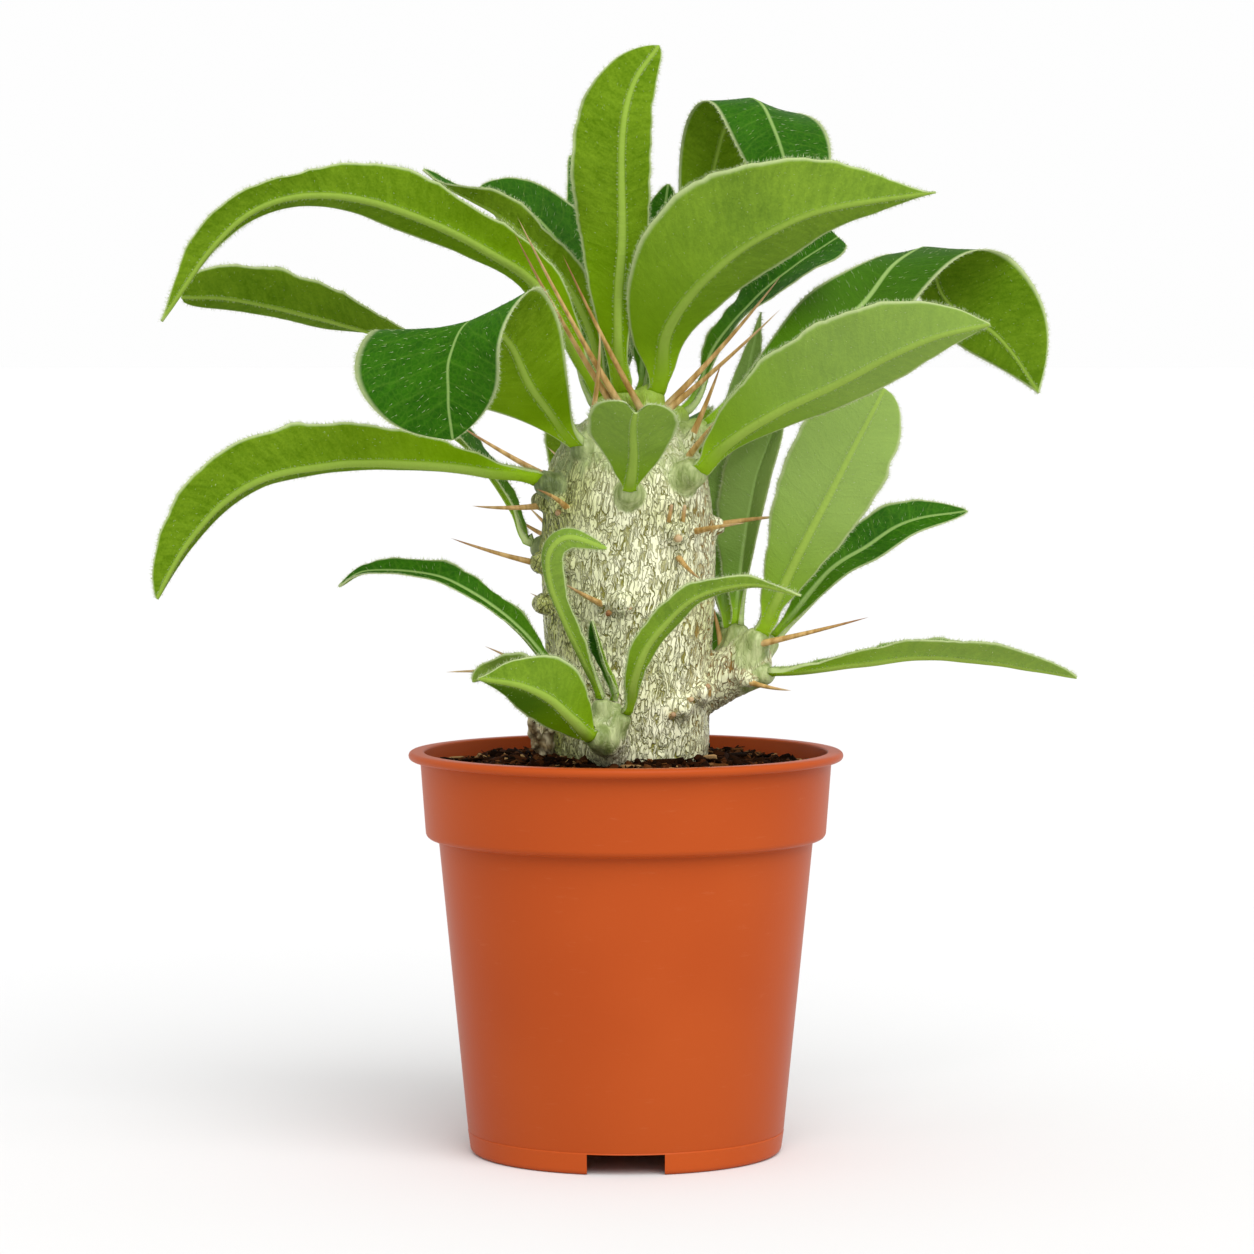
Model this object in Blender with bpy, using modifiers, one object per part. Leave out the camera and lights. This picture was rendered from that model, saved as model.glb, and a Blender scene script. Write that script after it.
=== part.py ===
"""Potted pachypodium: a silvery swollen stem with paired spines and long leaves, in a 12 cm nursery pot.

The pot stands on z = 0 with its axis on Z. The camera side of the plant is -Y and +X is its right.
Every size below is in millimetres, and mesh coordinates are metres.
"""

import math

import bmesh
import bpy
from mathutils import Matrix, Vector, noise

MM = 0.001
GAP = 0.3  # clearance between pieces that rest against each other
UP = Vector((0, 0, 1))

# Pot
POT_HEIGHT = 111.0
RIM_RADIUS = 60.0
RIM_LIP_DROP = 2.4
BAND_TOP_RADIUS = 56.9
BAND_BOTTOM_RADIUS = 55.3
BAND_BOTTOM = 87.0
BAND_CORNER = 1.8
BODY_TOP_RADIUS = 51.7
FOOT_RADIUS = 43.2
WALL = 1.3
EDGE_BEVEL = 0.6
FOOT_BEVEL = 1.0
FOOT_DRAFT = 0.3
FLOOR_UNDERSIDE = 6.6
FLOOR_THICKNESS = 1.5
NOTCH_WIDTH = 21.0
NOTCH_HEIGHT = 5.7
NOTCH_COUNT = 3
DRAIN_RADIUS = 4.0
DRAIN_CIRCLE = 30.0
DRAIN_COUNT = 6
DRAIN_TURN = 3.0  # degrees, which keeps the corners of the holes off the pot's own facets
ROUND_STEPS = 48

# Soil
SOIL_EDGE = 105.5
SOIL_MOUND = 4.2
SOIL_RINGS = 9
SOIL_RELIEF = 1.5
SOIL_LUMP_PITCH = 0.19
SOIL_CALM_EDGE = 4.0  # the relief dies away over this distance from the wall
HOLE_GAP = 0.4  # clearance of the soil round the stem

# Stem
TRUNK_FOOT = 84.0
TRUNK_AXIS = Vector((0.5, 0, 0))
TRUNK_PROFILE = [
    (0, 206.5), (6, 205.5), (12, 202), (17.5, 196.5), (21.3, 190), (23.2, 181), (23.8, 168),
    (23.6, 152), (22.8, 138), (21.6, 124), (20.4, 112), (19, 103), (15, 93), (8, 86), (0, TRUNK_FOOT),
]
TRUNK_STEPS = 26
TRUNK_SWELLINGS = (0.05, 0.055, 0.025, 0.16)  # two sizes of swelling: share of the radius and pitch of each
TRUNK_SPREAD = 0.1  # share of the radius by which the right of the trunk spreads towards the soil
SPREAD_TOP = 132.0
SPREAD_BOTTOM = 112.0
OFFSET_FOOT = Vector((-3, -10, 102))
OFFSET_TOP = Vector((-5, -33, 121))
OFFSET_RADIUS = 6.6
OFFSET_TOP_RADIUS = 5.0
BRANCH_FOOT = Vector((18, -1, 125))
BRANCH_TOP = Vector((33, -4, 136))
BRANCH_RADIUS = 6.0
BRANCH_TOP_RADIUS = 7.2
BRANCH_SIDES = 14
OFFSET_SIDES = 12

# Points inside the stem from which the leaf cushions of each shoot spring
CROWN_CORE_DROP = 11.0
BRANCH_CORE = Vector((30, -3, 131))
OFFSET_CORE = Vector((-5, -32, 117))
CUSHION_LENGTH = 13.0
CUSHION_MARGIN = 0.7
CUSHION_FLARE = 2.3
CUSHION_SIDES = 9

# Leaves
BLADE = 0.9
STALK_BASE = 0.9
STALK_SHARE = 0.08
STALK_LIMIT = 16.0  # a half wider than this makes no wider stalk
STALK_FORM = 1.2  # thickness of the stalk against half of its width
STALK_FADE = 8  # the higher, the sooner the stalk thins into the blade
RIB_SHARE = 0.85
COLLAR = 1.6  # the stalk leaves its cushion straight for this far
EASE = 1.2  # rows crowd together towards the tip
TIP_HALF_WIDTH = 0.35
SHOULDER = 1.2
ROWS = 12
COLUMNS = 4
WAVE_TURNS = 2.75
WAVE_LAG = 1.2
ARCH = 0.25
NARROW = 8.0
NARROW_ROWS = 10
NARROW_COLUMNS = 2
CURVE_STEPS = 16  # between two points of a path
TIP_REACH = 1.1

# Spines
SPINE_RADIUS = 1.0
SPINE_TIP_RADIUS = 0.15
SPINE_SIDES = 5
SPINE_ROOT_DEPTH = 4.0


def crown(*path, **shape):
    return dict(shoot="crown", path=path, **shape)


def branch(*path, **shape):
    return dict(shoot="branch", path=path, **shape)


def offset(*path, **shape):
    return dict(shoot="offset", path=path, **shape)


# Each leaf: the points of its midrib from base to tip, half of its width to either side of the midrib,
# the turn of its blade about the midrib at even steps along it in degrees, how far its halves fold up,
# where along it is widest, and how far its edges wave. A form gives both halves' widths at even steps instead.
LEAVES = {
    "leaf_top": crown(
        (-1, -9, 210), (-2, -18, 234), (-1, -22, 252), (-1, -21, 278), (2, -16, 293), (9, -9, 304),
        halves=(14, 8), roll=(0, 10), fold=14, belly=0.64, wave=1.6),
    "leaf_upper_right": crown(
        (8, -9, 210), (11, -20, 226), (19, -32, 238), (29, -40, 247), (41, -45, 254), (55, -47, 259),
        (82, -46, 263),
        halves=(21.5, 14), roll=(-25, -45), fold=20, belly=0.475, shoulder=1.35, wave=0.5),
    "leaf_arch_behind": crown(
        (7, 2, 210), (15, 14, 235), (21, 20, 254), (24, 20, 272), (28, 14, 285), (32, 6, 290),
        (36.5, -3, 289), (39.5, -12, 283), (42.5, -19, 274), (45, -24, 263), (47, -27, 251),
        halves=(13, 16.5), roll=(-30, -50, -70, -88, -88, -50, -40), fold=-8, wave=0.0,
        form=((0, 0.21, 0.45, 0.66, 0.83, 0.95, 1, 0.97, 0.85, 0.59, 0),
              (0, 0.21, 0.45, 0.66, 0.8, 0.8, 0.74, 0.78, 0.85, 0.66, 0))),
    "leaf_behind_right": crown(
        (16, 9, 204), (25, 22, 222), (37, 30, 236), (48, 34, 245), (60, 36, 253),
        halves=(13.5, 9), roll=(0, 4, 20), fold=15, belly=0.84, shoulder=1.6, wave=0.6),
    "leaf_right_arch": crown(
        (22, 1, 200), (41, 14, 215), (56, 28, 226), (67, 43, 234), (75, 52, 244), (80, 59, 248), (86, 67, 251),
        (89, 74, 249), (91, 77, 239), (97, 76, 232), (106, 73, 227), (113, 70, 219), (119, 64, 209),
        halves=(26, 14), roll=(20, 50, 62, 44, 18, -10, 0), fold=5, wave=0.0,
        form=((0, 0.25, 0.45, 0.5, 0.5, 0.52, 0.62, 0.8, 0.87, 0.68, 0),
              (0, 0.25, 0.55, 0.88, 1.03, 0.6, 0.38, 0.55, 0.7, 0.45, 0))),
    "leaf_right_front": crown(
        (20, -20, 189), (27, -28, 196), (39, -38, 204), (57, -50, 213), (70, -58, 220), (82, -63, 225),
        (95, -66, 228),
        halves=(16.5, 10), roll=(-35, -50), fold=22, belly=0.55, wave=0.0),
    "leaf_small_front": crown(
        (1, -27, 184), (2, -38, 192), (2, -48, 201), (3, -54, 207),
        halves=(12, 12), roll=(0, 0), fold=16, belly=0.7, wave=0.0),
    "leaf_left_fold": crown(
        (-13, -16, 196), (-21, -30, 206), (-26, -41, 213), (-30, -52, 222), (-34, -59, 227), (-37, -65, 229),
        (-40, -70, 229), (-43, -73, 226), (-45, -74, 221), (-46, -75, 217), (-46, -74, 211), (-46, -73, 206),
        (-45, -71, 198),
        halves=(31, 17), roll=(10, 18, 26, 40, 50, 34, 4, -30, -40), fold=3, belly=0.66, wave=0.0),
    "leaf_left_arch": crown(
        (-7, -6, 209), (-23, -16, 237), (-37, -24, 247.5), (-55, -30, 256.5), (-74, -34, 262), (-93, -37, 261),
        (-108, -38, 251), (-124, -36, 229),
        halves=(8.5, 9.5), roll=(35, 40), fold=28, wave=-1.3,
        form=((0, 0.3, 0.6, 0.84, 0.98, 1.1, 1, 0.75, 0.3, 0.1, 0),
              (0, 0.3, 0.6, 0.84, 1, 1.13, 0.88, 0.66, 0.7, 0.42, 0))),
    "leaf_left_back": crown(
        (-17, 4, 199), (-29, 14, 207), (-44, 22, 215), (-64, 28, 224), (-89, 31, 231), (-110, 31, 235.6),
        (-125, 30, 236.2),
        halves=(8, 12.5), roll=(0, -10, 35, 50), fold=16, belly=0.74, shoulder=1.2, wave=0.4),
    "leaf_left_middle": crown(
        (-24, -14, 186), (-37, -20, 188), (-50, -27, 190), (-72, -34, 191), (-89, -38, 189), (-99, -39, 186),
        (-108, -40, 180), (-116, -41, 171), (-121, -42, 163), (-125, -42, 155),
        halves=(7, 12), roll=(45, 55), fold=32, belly=0.6, wave=0.0),
    "leaf_left_inner": crown(
        (-26, 2, 168), (-31, 8, 177), (-38, 12, 187), (-46, 14, 196), (-57, 15, 202), (-67, 14, 205),
        halves=(9, 9), roll=(0, -15), fold=14, belly=0.6, wave=0.0),
    "leaf_back_left": crown(
        (-8, 9, 206), (-11, 20, 226), (-15, 27, 244), (-23, 31, 256), (-32, 32, 263), (-41, 30, 267),
        halves=(12.5, 12.5), roll=(0, -10), fold=14, belly=0.6, wave=0.0),
    "leaf_inner_left": crown(
        (-6, 1, 210), (-9, 1, 225), (-16, 3, 239), (-25, 5, 250), (-36, 7, 259), (-49, 8, 266), (-56, 7, 271),
        halves=(7, 7), roll=(50, 50, 40, -20), fold=20, belly=0.6, wave=0.8),
    "leaf_back_upright": crown(
        (-2, 13, 206), (-4, 34, 229), (-8, 48, 249), (-12, 56, 267), (-16, 58, 277),
        halves=(9, 9), roll=(0, 0), fold=14, belly=0.6, wave=0.0),
    "leaf_back_middle": crown(
        (6, 12, 206), (8, 26, 229), (10, 32, 252), (12, 34, 268),
        halves=(9, 9), roll=(0, 0), fold=14, belly=0.6, wave=0.0),
    "leaf_back_low": crown(
        (12, 21, 190), (15, 42, 200), (15, 60, 197), (12, 76, 178), (10, 78, 158),
        halves=(12, 12), roll=(0, 0), fold=14, belly=0.6, wave=0.0),
    "leaf_back_left_low": crown(
        (-12, 20, 190), (-15, 42, 199), (-15, 60, 196), (-14, 73, 184), (-13, 78, 164),
        halves=(10, 10), roll=(0, 0), fold=14, belly=0.6, wave=0.0),
    "leaf_young_left": crown(
        (-1, 0, 211), (-2, -1, 222), (-3, -1, 234), (-3, 0, 246),
        halves=(3.5, 3.5), roll=(0, 0), fold=30, belly=0.6, wave=0.0),
    "leaf_young_right": crown(
        (4, 6, 210), (5, 8, 222), (5, 11, 236), (5, 13, 246),
        halves=(4, 4), roll=(0, 0), fold=30, belly=0.6, wave=0.0),
    "branch_leaf_upright": branch(
        (37, -9, 144), (41, -13, 153), (47, -18, 166), (54, -22, 180), (61, -24, 194), (70, -22, 211),
        halves=(15.5, 11.5), roll=(-50, -60), fold=8, belly=0.7, shoulder=1.2, wave=0.0),
    "branch_leaf_inner": branch(
        (31, -2, 146), (32, 6, 159), (34, 12, 173), (37, 16, 187), (41, 18, 198), (44, 18, 206),
        halves=(10, 10), roll=(0, 0), fold=24, belly=0.66, wave=0.0),
    "branch_leaf_back": branch(
        (28, 6, 144), (27, 16, 161), (28, 22, 179), (31, 27, 196), (34, 30, 214), (38, 30, 232),
        halves=(6.5, 6.5), roll=(0, 0), fold=14, belly=0.5, wave=0.0),
    "branch_leaf_right": branch(
        (41, 2, 142), (56, 14, 159), (67, 20, 166), (79, 25, 173), (96, 28, 176),
        halves=(7.5, 7.5), roll=(30, 40), fold=14, belly=0.6, wave=0.0),
    "branch_leaf_low": branch(
        (40, -10, 133), (49, -14, 134), (63, -17, 136), (81, -19, 138), (102, -18, 136), (123, -14, 132),
        halves=(7.5, 7.5), roll=(0, 0), fold=40, belly=0.6, wave=0.0),
    "branch_leaf_hidden": branch(
        (25, 8, 134), (22, 25, 143), (14, 42, 146), (7, 56, 138),
        halves=(8, 8), roll=(0, 0), fold=16, belly=0.6, wave=0.0),
    "offset_leaf_long": offset(
        (-11, -31, 124), (-20, -35, 136), (-28, -37, 146), (-39, -39, 155), (-52, -38, 161), (-69, -36, 162),
        (-77, -34, 158),
        halves=(5, 5), roll=(-20, -20), fold=20, belly=0.6, wave=0.0),
    "offset_leaf_curl": offset(
        (-7, -34, 128), (-11, -40, 138), (-16, -45, 149), (-20, -49, 160), (-20, -52, 168), (-15, -54, 172),
        (-5, -54, 169),
        halves=(4, 4), roll=(0, 0), fold=20, belly=0.6, wave=0.0),
    "offset_leaf_front": offset(
        (-9, -39, 118), (-14, -47, 123), (-20, -53, 129), (-28, -57, 133), (-39, -59, 135),
        halves=(9, 10.5), roll=(50, 40), fold=24, belly=0.5, wave=0.0),
    "offset_leaf_left": offset(
        (-11, -36, 121), (-15, -41, 127), (-22, -43, 132), (-29, -43, 135.5), (-36, -43, 135.3), (-41, -42, 133),
        halves=(6.5, 7), roll=(10, 20), fold=12, belly=0.6, wave=0.0),
    "offset_leaf_right": offset(
        (0, -35, 124), (2, -44, 133), (5, -51, 142), (11, -56, 150), (19, -60, 157), (33, -62, 160), (46, -62, 157),
        halves=(4.5, 4.5), roll=(-30, -30), fold=12, belly=0.5, wave=0.0),
    "offset_leaf_inner": offset(
        (-3, -31, 127), (-6, -34, 138), (-9, -37, 149),
        halves=(3, 3), roll=(0, 0), fold=20, belly=0.6, wave=0.0),
}

# Spines that the photograph shows, root and tip
SPINES = [
    ((-2, -13, 204), (-30, -34, 253)), ((0, -14, 204), (-29, -38, 257)), ((4.6, -11.4, 204.5), (-17, -32, 247)),
    ((-10, -14, 200), (-7, -26, 227)), ((9.8, -8, 205), (43, -8, 242.5)), ((9.5, -9, 203.5), (42, -16, 232.5)),
    ((18, -8, 198), (26, -14, 218)), ((17, -15, 192), (30, -30, 208)), ((-22, -6, 187), (-46, -6, 201)),
    ((-23, -6, 179), (-42, -14, 179)), ((-24, -4, 163), (-48, -8, 170)), ((24, -4, 173), (44, -10, 176)),
    ((19, -16, 172), (32, -32, 175)), ((-16.5, -8.5, 197), (-38, -14, 215.5)), ((36, -10, 141), (66, -20, 149)),
    ((34, -12, 131), (45, -20, 129)), ((37, -3, 142), (43, -3, 167)), ((26, 2, 138), (23, 3, 153)),
    ((-22, -10, 132), (-49, -20, 134)), ((-7, -23, 153), (-17, -34, 159)),
    ((14, -19, 166), (20, -33, 160)), ((-16, -17, 178), (-24, -31, 184)),
]
# Scars on the trunk that carry a pair of spines each, in a spiral
SCAR_COUNT = 24
SCAR_LOW = 126.0
SCAR_HIGH = 196.0
SCAR_TURN = 137.5
SCAR_START = 20.0
SCAR_LENGTH = 5.0
SCAR_ROOT_RADIUS = 5.0
SCAR_TIP_RADIUS = 2.6
SCAR_STANDS_OUT = 0.35
SCAR_SIDES = 8
PAIR_SPREAD = 24.0
PAIR_RISE = 28.0
PAIR_LENGTHS = (15.0, 19.0, 22.0)
FRONT_CLEAR = 105.0  # within this angle of the camera side the spines are the listed ones

# A dry scale at the foot of the trunk
SCALE_CENTRE = Vector((-22.5, -4, 116))
SCALE_SIZE = Vector((4, 1.3, 5))


def lathe_arc(centre_r, centre_z, radius, start, end, count):
    """Points (r, z) of a fillet, from one angle to another in degrees."""
    angles = [math.radians(start + (end - start) * i / count) for i in range(count + 1)]
    return [(centre_r + radius * math.cos(a), centre_z + radius * math.sin(a)) for a in angles]


def body_radius(z):
    """Outside radius of the tapered body below the band."""
    return FOOT_RADIUS + (BODY_TOP_RADIUS - FOOT_RADIUS) * z / BAND_BOTTOM


def band_radius(z):
    """Outside radius of the band under the rim."""
    share = (z - BAND_BOTTOM) / (POT_HEIGHT - BAND_BOTTOM)
    return BAND_BOTTOM_RADIUS + (BAND_TOP_RADIUS - BAND_BOTTOM_RADIUS) * share


def pot_profile():
    """From the middle of the floor, up inside, over the rim, down outside and back under the floor."""
    floor_top = FLOOR_UNDERSIDE + FLOOR_THICKNESS
    lip_bottom = POT_HEIGHT - RIM_LIP_DROP
    lip = RIM_LIP_DROP / 2
    inside = [
        (0, floor_top),
        (body_radius(floor_top) - WALL, floor_top),
        (body_radius(BAND_BOTTOM) - WALL, BAND_BOTTOM + WALL),
        (band_radius(BAND_BOTTOM) - WALL, BAND_BOTTOM + WALL),
        (band_radius(POT_HEIGHT) - WALL, POT_HEIGHT - EDGE_BEVEL),
        (band_radius(POT_HEIGHT) - WALL + EDGE_BEVEL, POT_HEIGHT),
    ]
    rim = lathe_arc(RIM_RADIUS - lip, POT_HEIGHT - lip, lip, 90, -90, 4)
    under_rim = [(band_radius(lip_bottom), lip_bottom)]
    corner = lathe_arc(BAND_BOTTOM_RADIUS - BAND_CORNER, BAND_BOTTOM + BAND_CORNER, BAND_CORNER, 0, -90, 3)
    foot = [
        (body_radius(BAND_BOTTOM), BAND_BOTTOM),
        (FOOT_RADIUS, FOOT_BEVEL),
        (FOOT_RADIUS - EDGE_BEVEL, 0),
        (FOOT_RADIUS - WALL - FOOT_DRAFT, 0),
        (FOOT_RADIUS - WALL, FLOOR_UNDERSIDE),
        (0, FLOOR_UNDERSIDE),
    ]
    return inside + rim + under_rim + corner + foot


def soil_profile():
    """From the top of the mound, out to the wall, down inside the pot to its floor and back to the axis."""
    edge_radius = band_radius(SOIL_EDGE) - WALL - GAP
    top = []
    for ring in range(SOIL_RINGS + 1):
        share = ring / SOIL_RINGS
        top.append((edge_radius * share, SOIL_EDGE + SOIL_MOUND * (1 - share**2)))
    step = BAND_BOTTOM + WALL + GAP
    bottom = FLOOR_UNDERSIDE + FLOOR_THICKNESS + GAP
    return top + [
        (band_radius(step) - WALL - GAP, step),
        (body_radius(BAND_BOTTOM) - WALL - GAP, step),
        (body_radius(bottom) - WALL - GAP, bottom),
        (0, bottom),
    ]


def soil_relief(point):
    """Lumps of peat on the open surface, none at the wall or below it."""
    radius = math.hypot(point.x, point.y)
    room = band_radius(SOIL_EDGE) - WALL - GAP - radius
    open_share = min(1.0, max(0.0, room / SOIL_CALM_EDGE))
    return SOIL_RELIEF * open_share * noise.noise(Vector((point.x, point.y, 0)) * SOIL_LUMP_PITCH)


def clear_scene():
    for old in list(bpy.data.objects):
        bpy.data.objects.remove(old)


def new_collection(name):
    made = bpy.data.collections.new(name)
    bpy.context.scene.collection.children.link(made)
    return made


def new_material(name, colour, roughness, metallic=0.0):
    made = bpy.data.materials.new(name)
    made.use_nodes = True
    shader = made.node_tree.nodes["Principled BSDF"]
    shader.inputs["Base Color"].default_value = (*colour, 1)
    shader.inputs["Roughness"].default_value = roughness
    shader.inputs["Metallic"].default_value = metallic
    return made


def add_mesh(name, bm, collection, material=None):
    """A new object from a bmesh in millimetres."""
    bmesh.ops.scale(bm, vec=(MM, MM, MM), verts=bm.verts)
    mesh = bpy.data.meshes.new(name)
    bm.to_mesh(mesh)
    bm.free()
    made = bpy.data.objects.new(name, mesh)
    collection.objects.link(made)
    if material:
        mesh.materials.append(material)
    return made


def smooth(obj, angle=35):
    obj.data.shade_smooth()
    obj.data.set_sharp_from_angle(angle=math.radians(angle))


def add_turned(name, profile, collection, material, steps=ROUND_STEPS):
    """A profile of (radius, z) points turned round the Z axis by a Screw modifier."""
    bm = bmesh.new()
    corners = [bm.verts.new((r, 0, z)) for r, z in profile]
    for a, b in zip(corners, corners[1:]):
        bm.edges.new((a, b))
    made = add_mesh(name, bm, collection, material)
    screw = made.modifiers.new("turn", "SCREW")
    screw.steps = steps
    screw.render_steps = steps
    screw.use_merge_vertices = True
    screw.merge_threshold = 0.00001
    screw.use_smooth_shade = True
    return made


def add_cutter(name, bm, collection):
    made = add_mesh(name, bm, collection)
    made.hide_render = True
    made.display_type = "WIRE"
    return made


def add_boolean(obj, operation, other=None, collection=None, solver="EXACT"):
    boolean = obj.modifiers.new(operation.lower(), "BOOLEAN")
    boolean.operation = operation
    boolean.solver = solver
    if collection:
        boolean.operand_type = "COLLECTION"
        boolean.collection = collection
    else:
        boolean.object = other
    return boolean


def baked(obj):
    """Applies the modifiers by replacing the mesh with the evaluated one."""
    bpy.context.view_layer.update()
    graph = bpy.context.evaluated_depsgraph_get()
    mesh = bpy.data.meshes.new_from_object(obj.evaluated_get(graph))
    obj.modifiers.clear()
    obj.data = mesh
    return obj


def add_pot(collection, cutters, material):
    pot = add_turned("pot", pot_profile(), collection, material)
    for index in range(NOTCH_COUNT):
        bm = bmesh.new()
        bmesh.ops.create_cube(bm, size=1)
        bmesh.ops.scale(bm, vec=(NOTCH_WIDTH, 20, NOTCH_HEIGHT + 10), verts=bm.verts)
        bmesh.ops.translate(bm, vec=(0, -FOOT_RADIUS, NOTCH_HEIGHT / 2 - 5), verts=bm.verts)
        turn = Matrix.Rotation(math.tau * index / NOTCH_COUNT, 3, "Z")
        bmesh.ops.rotate(bm, matrix=turn, verts=bm.verts)
        add_boolean(pot, "DIFFERENCE", add_cutter(f"notch_cutter_{index}", bm, cutters))
    for index in range(DRAIN_COUNT):
        angle = math.tau * (index + 0.5) / DRAIN_COUNT + math.radians(DRAIN_TURN)
        bm = bmesh.new()
        bmesh.ops.create_cone(
            bm, cap_ends=True, segments=10, radius1=DRAIN_RADIUS, radius2=DRAIN_RADIUS, depth=12)
        centre = (DRAIN_CIRCLE * math.cos(angle), DRAIN_CIRCLE * math.sin(angle), FLOOR_UNDERSIDE)
        bmesh.ops.translate(bm, vec=centre, verts=bm.verts)
        add_boolean(pot, "DIFFERENCE", add_cutter(f"drain_cutter_{index}", bm, cutters))
    return pot


def turned_bmesh(profile, steps, centre):
    """A closed round body from a profile that starts and ends on its axis, spun with bmesh."""
    bm = bmesh.new()
    corners = [bm.verts.new((r, 0, z)) for r, z in profile]
    edges = [bm.edges.new(pair) for pair in zip(corners, corners[1:])]
    bmesh.ops.spin(
        bm, geom=corners + edges, cent=(0, 0, 0), axis=UP, angle=math.tau, steps=steps, use_merge=True)
    bmesh.ops.remove_doubles(bm, verts=bm.verts, dist=0.001)
    bmesh.ops.recalc_face_normals(bm, faces=bm.faces)
    bmesh.ops.translate(bm, vec=centre, verts=bm.verts)
    return bm


def trunk_bmesh(grown=0.0):
    """The swollen stem. Its surface has low swellings, and grown adds a clearance all round."""
    profile = [(r + grown if r else 0, z) for r, z in TRUNK_PROFILE]
    bm = turned_bmesh(profile, TRUNK_STEPS, (0, 0, 0))
    broad, broad_pitch, fine, fine_pitch = TRUNK_SWELLINGS
    for vert in bm.verts:
        swell = 1 + broad * noise.noise(vert.co * broad_pitch) + fine * noise.noise(vert.co * fine_pitch)
        low = min(1, max(0, (SPREAD_TOP - vert.co.z) / (SPREAD_TOP - SPREAD_BOTTOM)))
        vert.co.x *= swell * (1 + TRUNK_SPREAD * low * (vert.co.x > 0))
        vert.co.y *= swell
    bmesh.ops.translate(bm, vec=TRUNK_AXIS, verts=bm.verts)
    return bm


def trunk_radius(z):
    """Radius of the trunk's profile at a height."""
    for (r0, z0), (r1, z1) in zip(TRUNK_PROFILE, TRUNK_PROFILE[1:]):
        if z1 <= z <= z0:
            return r0 + (r1 - r0) * (z0 - z) / (z0 - z1)
    return 0.0


def rod_bmesh(start, end, start_radius, end_radius, sides):
    """A straight cone or cylinder between two points."""
    along = end - start
    bm = bmesh.new()
    bmesh.ops.create_cone(
        bm, cap_ends=True, segments=sides, radius1=start_radius, radius2=end_radius, depth=along.length)
    turn = along.to_track_quat("Z", "Y").to_matrix().to_4x4()
    bmesh.ops.transform(bm, matrix=Matrix.Translation((start + end) / 2) @ turn, verts=bm.verts)
    return bm


def ball_bmesh(centre, size, segments=12, rings=8):
    """An ellipsoid with half axes of the given size."""
    bm = bmesh.new()
    bmesh.ops.create_uvsphere(bm, u_segments=segments, v_segments=rings, radius=1)
    bmesh.ops.scale(bm, vec=size, verts=bm.verts)
    bmesh.ops.translate(bm, vec=centre, verts=bm.verts)
    return bm


def core_of(leaf):
    """The point inside the stem from which a leaf's cushion springs."""
    if leaf["shoot"] == "branch":
        return BRANCH_CORE
    if leaf["shoot"] == "offset":
        return OFFSET_CORE
    base = Vector(leaf["path"][0])
    return TRUNK_AXIS + UP * (base.z - CROWN_CORE_DROP)


def seat_of(leaf):
    """(base point, direction in which the leaf leaves its cushion)."""
    base = Vector(leaf["path"][0])
    return base, (base - core_of(leaf)).normalized()


def stalk_radius(leaf):
    """Half of the stalk's width where the leaf leaves its cushion."""
    return STALK_BASE + STALK_SHARE * min(STALK_LIMIT, max(leaf["halves"]))


def cushion_bmesh(leaf):
    """The swollen seat of a leaf, ending just short of its stalk."""
    base, out = seat_of(leaf)
    length = min(CUSHION_LENGTH, (base - core_of(leaf)).length)
    tip_radius = stalk_radius(leaf) + CUSHION_MARGIN
    return rod_bmesh(base - out * length, base - out * GAP, tip_radius * CUSHION_FLARE, tip_radius, CUSHION_SIDES)


def midrib(leaf, count):
    """Points, tangents and shares along a smooth curve through the leaf's path, which leaves square to its seat."""
    base, out = seat_of(leaf)
    knots = [Vector(p) for p in leaf["path"]]
    slopes = [out * (knots[1] - knots[0]).length]
    slopes += [(after - before) / 2 for before, after in zip(knots, knots[2:])]
    slopes.append((knots[-1] - knots[-2]) * TIP_REACH)
    fine = []
    for a, b, m0, m1 in zip(knots, knots[1:], slopes, slopes[1:]):
        for step in range(CURVE_STEPS):
            t = step / CURVE_STEPS
            fine.append(
                a * (2 * t**3 - 3 * t**2 + 1) + m0 * (t**3 - 2 * t**2 + t)
                + b * (3 * t**2 - 2 * t**3) + m1 * (t**3 - t**2))
    fine.append(knots[-1])
    reach = [0.0]
    for a, b in zip(fine, fine[1:]):
        reach.append(reach[-1] + (b - a).length)
    collar = COLLAR / reach[-1]
    points, shares = [base, base + out * COLLAR], [0.0, collar]
    for row in range(1, count):
        share = collar + (1 - collar) * (1 - (1 - row / (count - 1)) ** EASE)
        goal = share * reach[-1]
        index = max(i for i in range(len(fine) - 1) if reach[i] <= goal + 1e-9)
        part = (goal - reach[index]) / (reach[index + 1] - reach[index])
        points.append(fine[index].lerp(fine[index + 1], part))
        shares.append(share)
    tangents = [out, out]
    tangents += [(after - before).normalized() for before, after in zip(points[1:], points[3:])]
    tangents.append((points[-1] - points[-2]).normalized())
    return points, tangents, shares


def along(values, share):
    """The value at a share of the way through evenly spaced values."""
    place = share * (len(values) - 1)
    index = min(int(place), len(values) - 2)
    return values[index] + (values[index + 1] - values[index]) * (place - index)


def drawn_form(values, share):
    """A smooth curve through evenly spaced values, for a leaf that no simple rule fits."""
    place = share * (len(values) - 1)
    index = min(int(place), len(values) - 2)
    t = place - index
    padded = (values[0], *values, values[-1])
    before, a, b, after = padded[index:index + 4]
    return a * (2 * t**3 - 3 * t**2 + 1) + (b - before) / 2 * (t**3 - 2 * t**2 + t) + b * (
        3 * t**2 - 2 * t**3) + (after - a) / 2 * (t**3 - t**2)


def ruled_form(leaf, share):
    """Widest at the belly, narrow at the base, pointed at the tip."""
    belly = leaf["belly"]
    shoulder = leaf.get("shoulder", SHOULDER)
    fall = shoulder * (1 - belly) / belly
    return (share / belly) ** shoulder * ((1 - share) / (1 - belly)) ** fall


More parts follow.
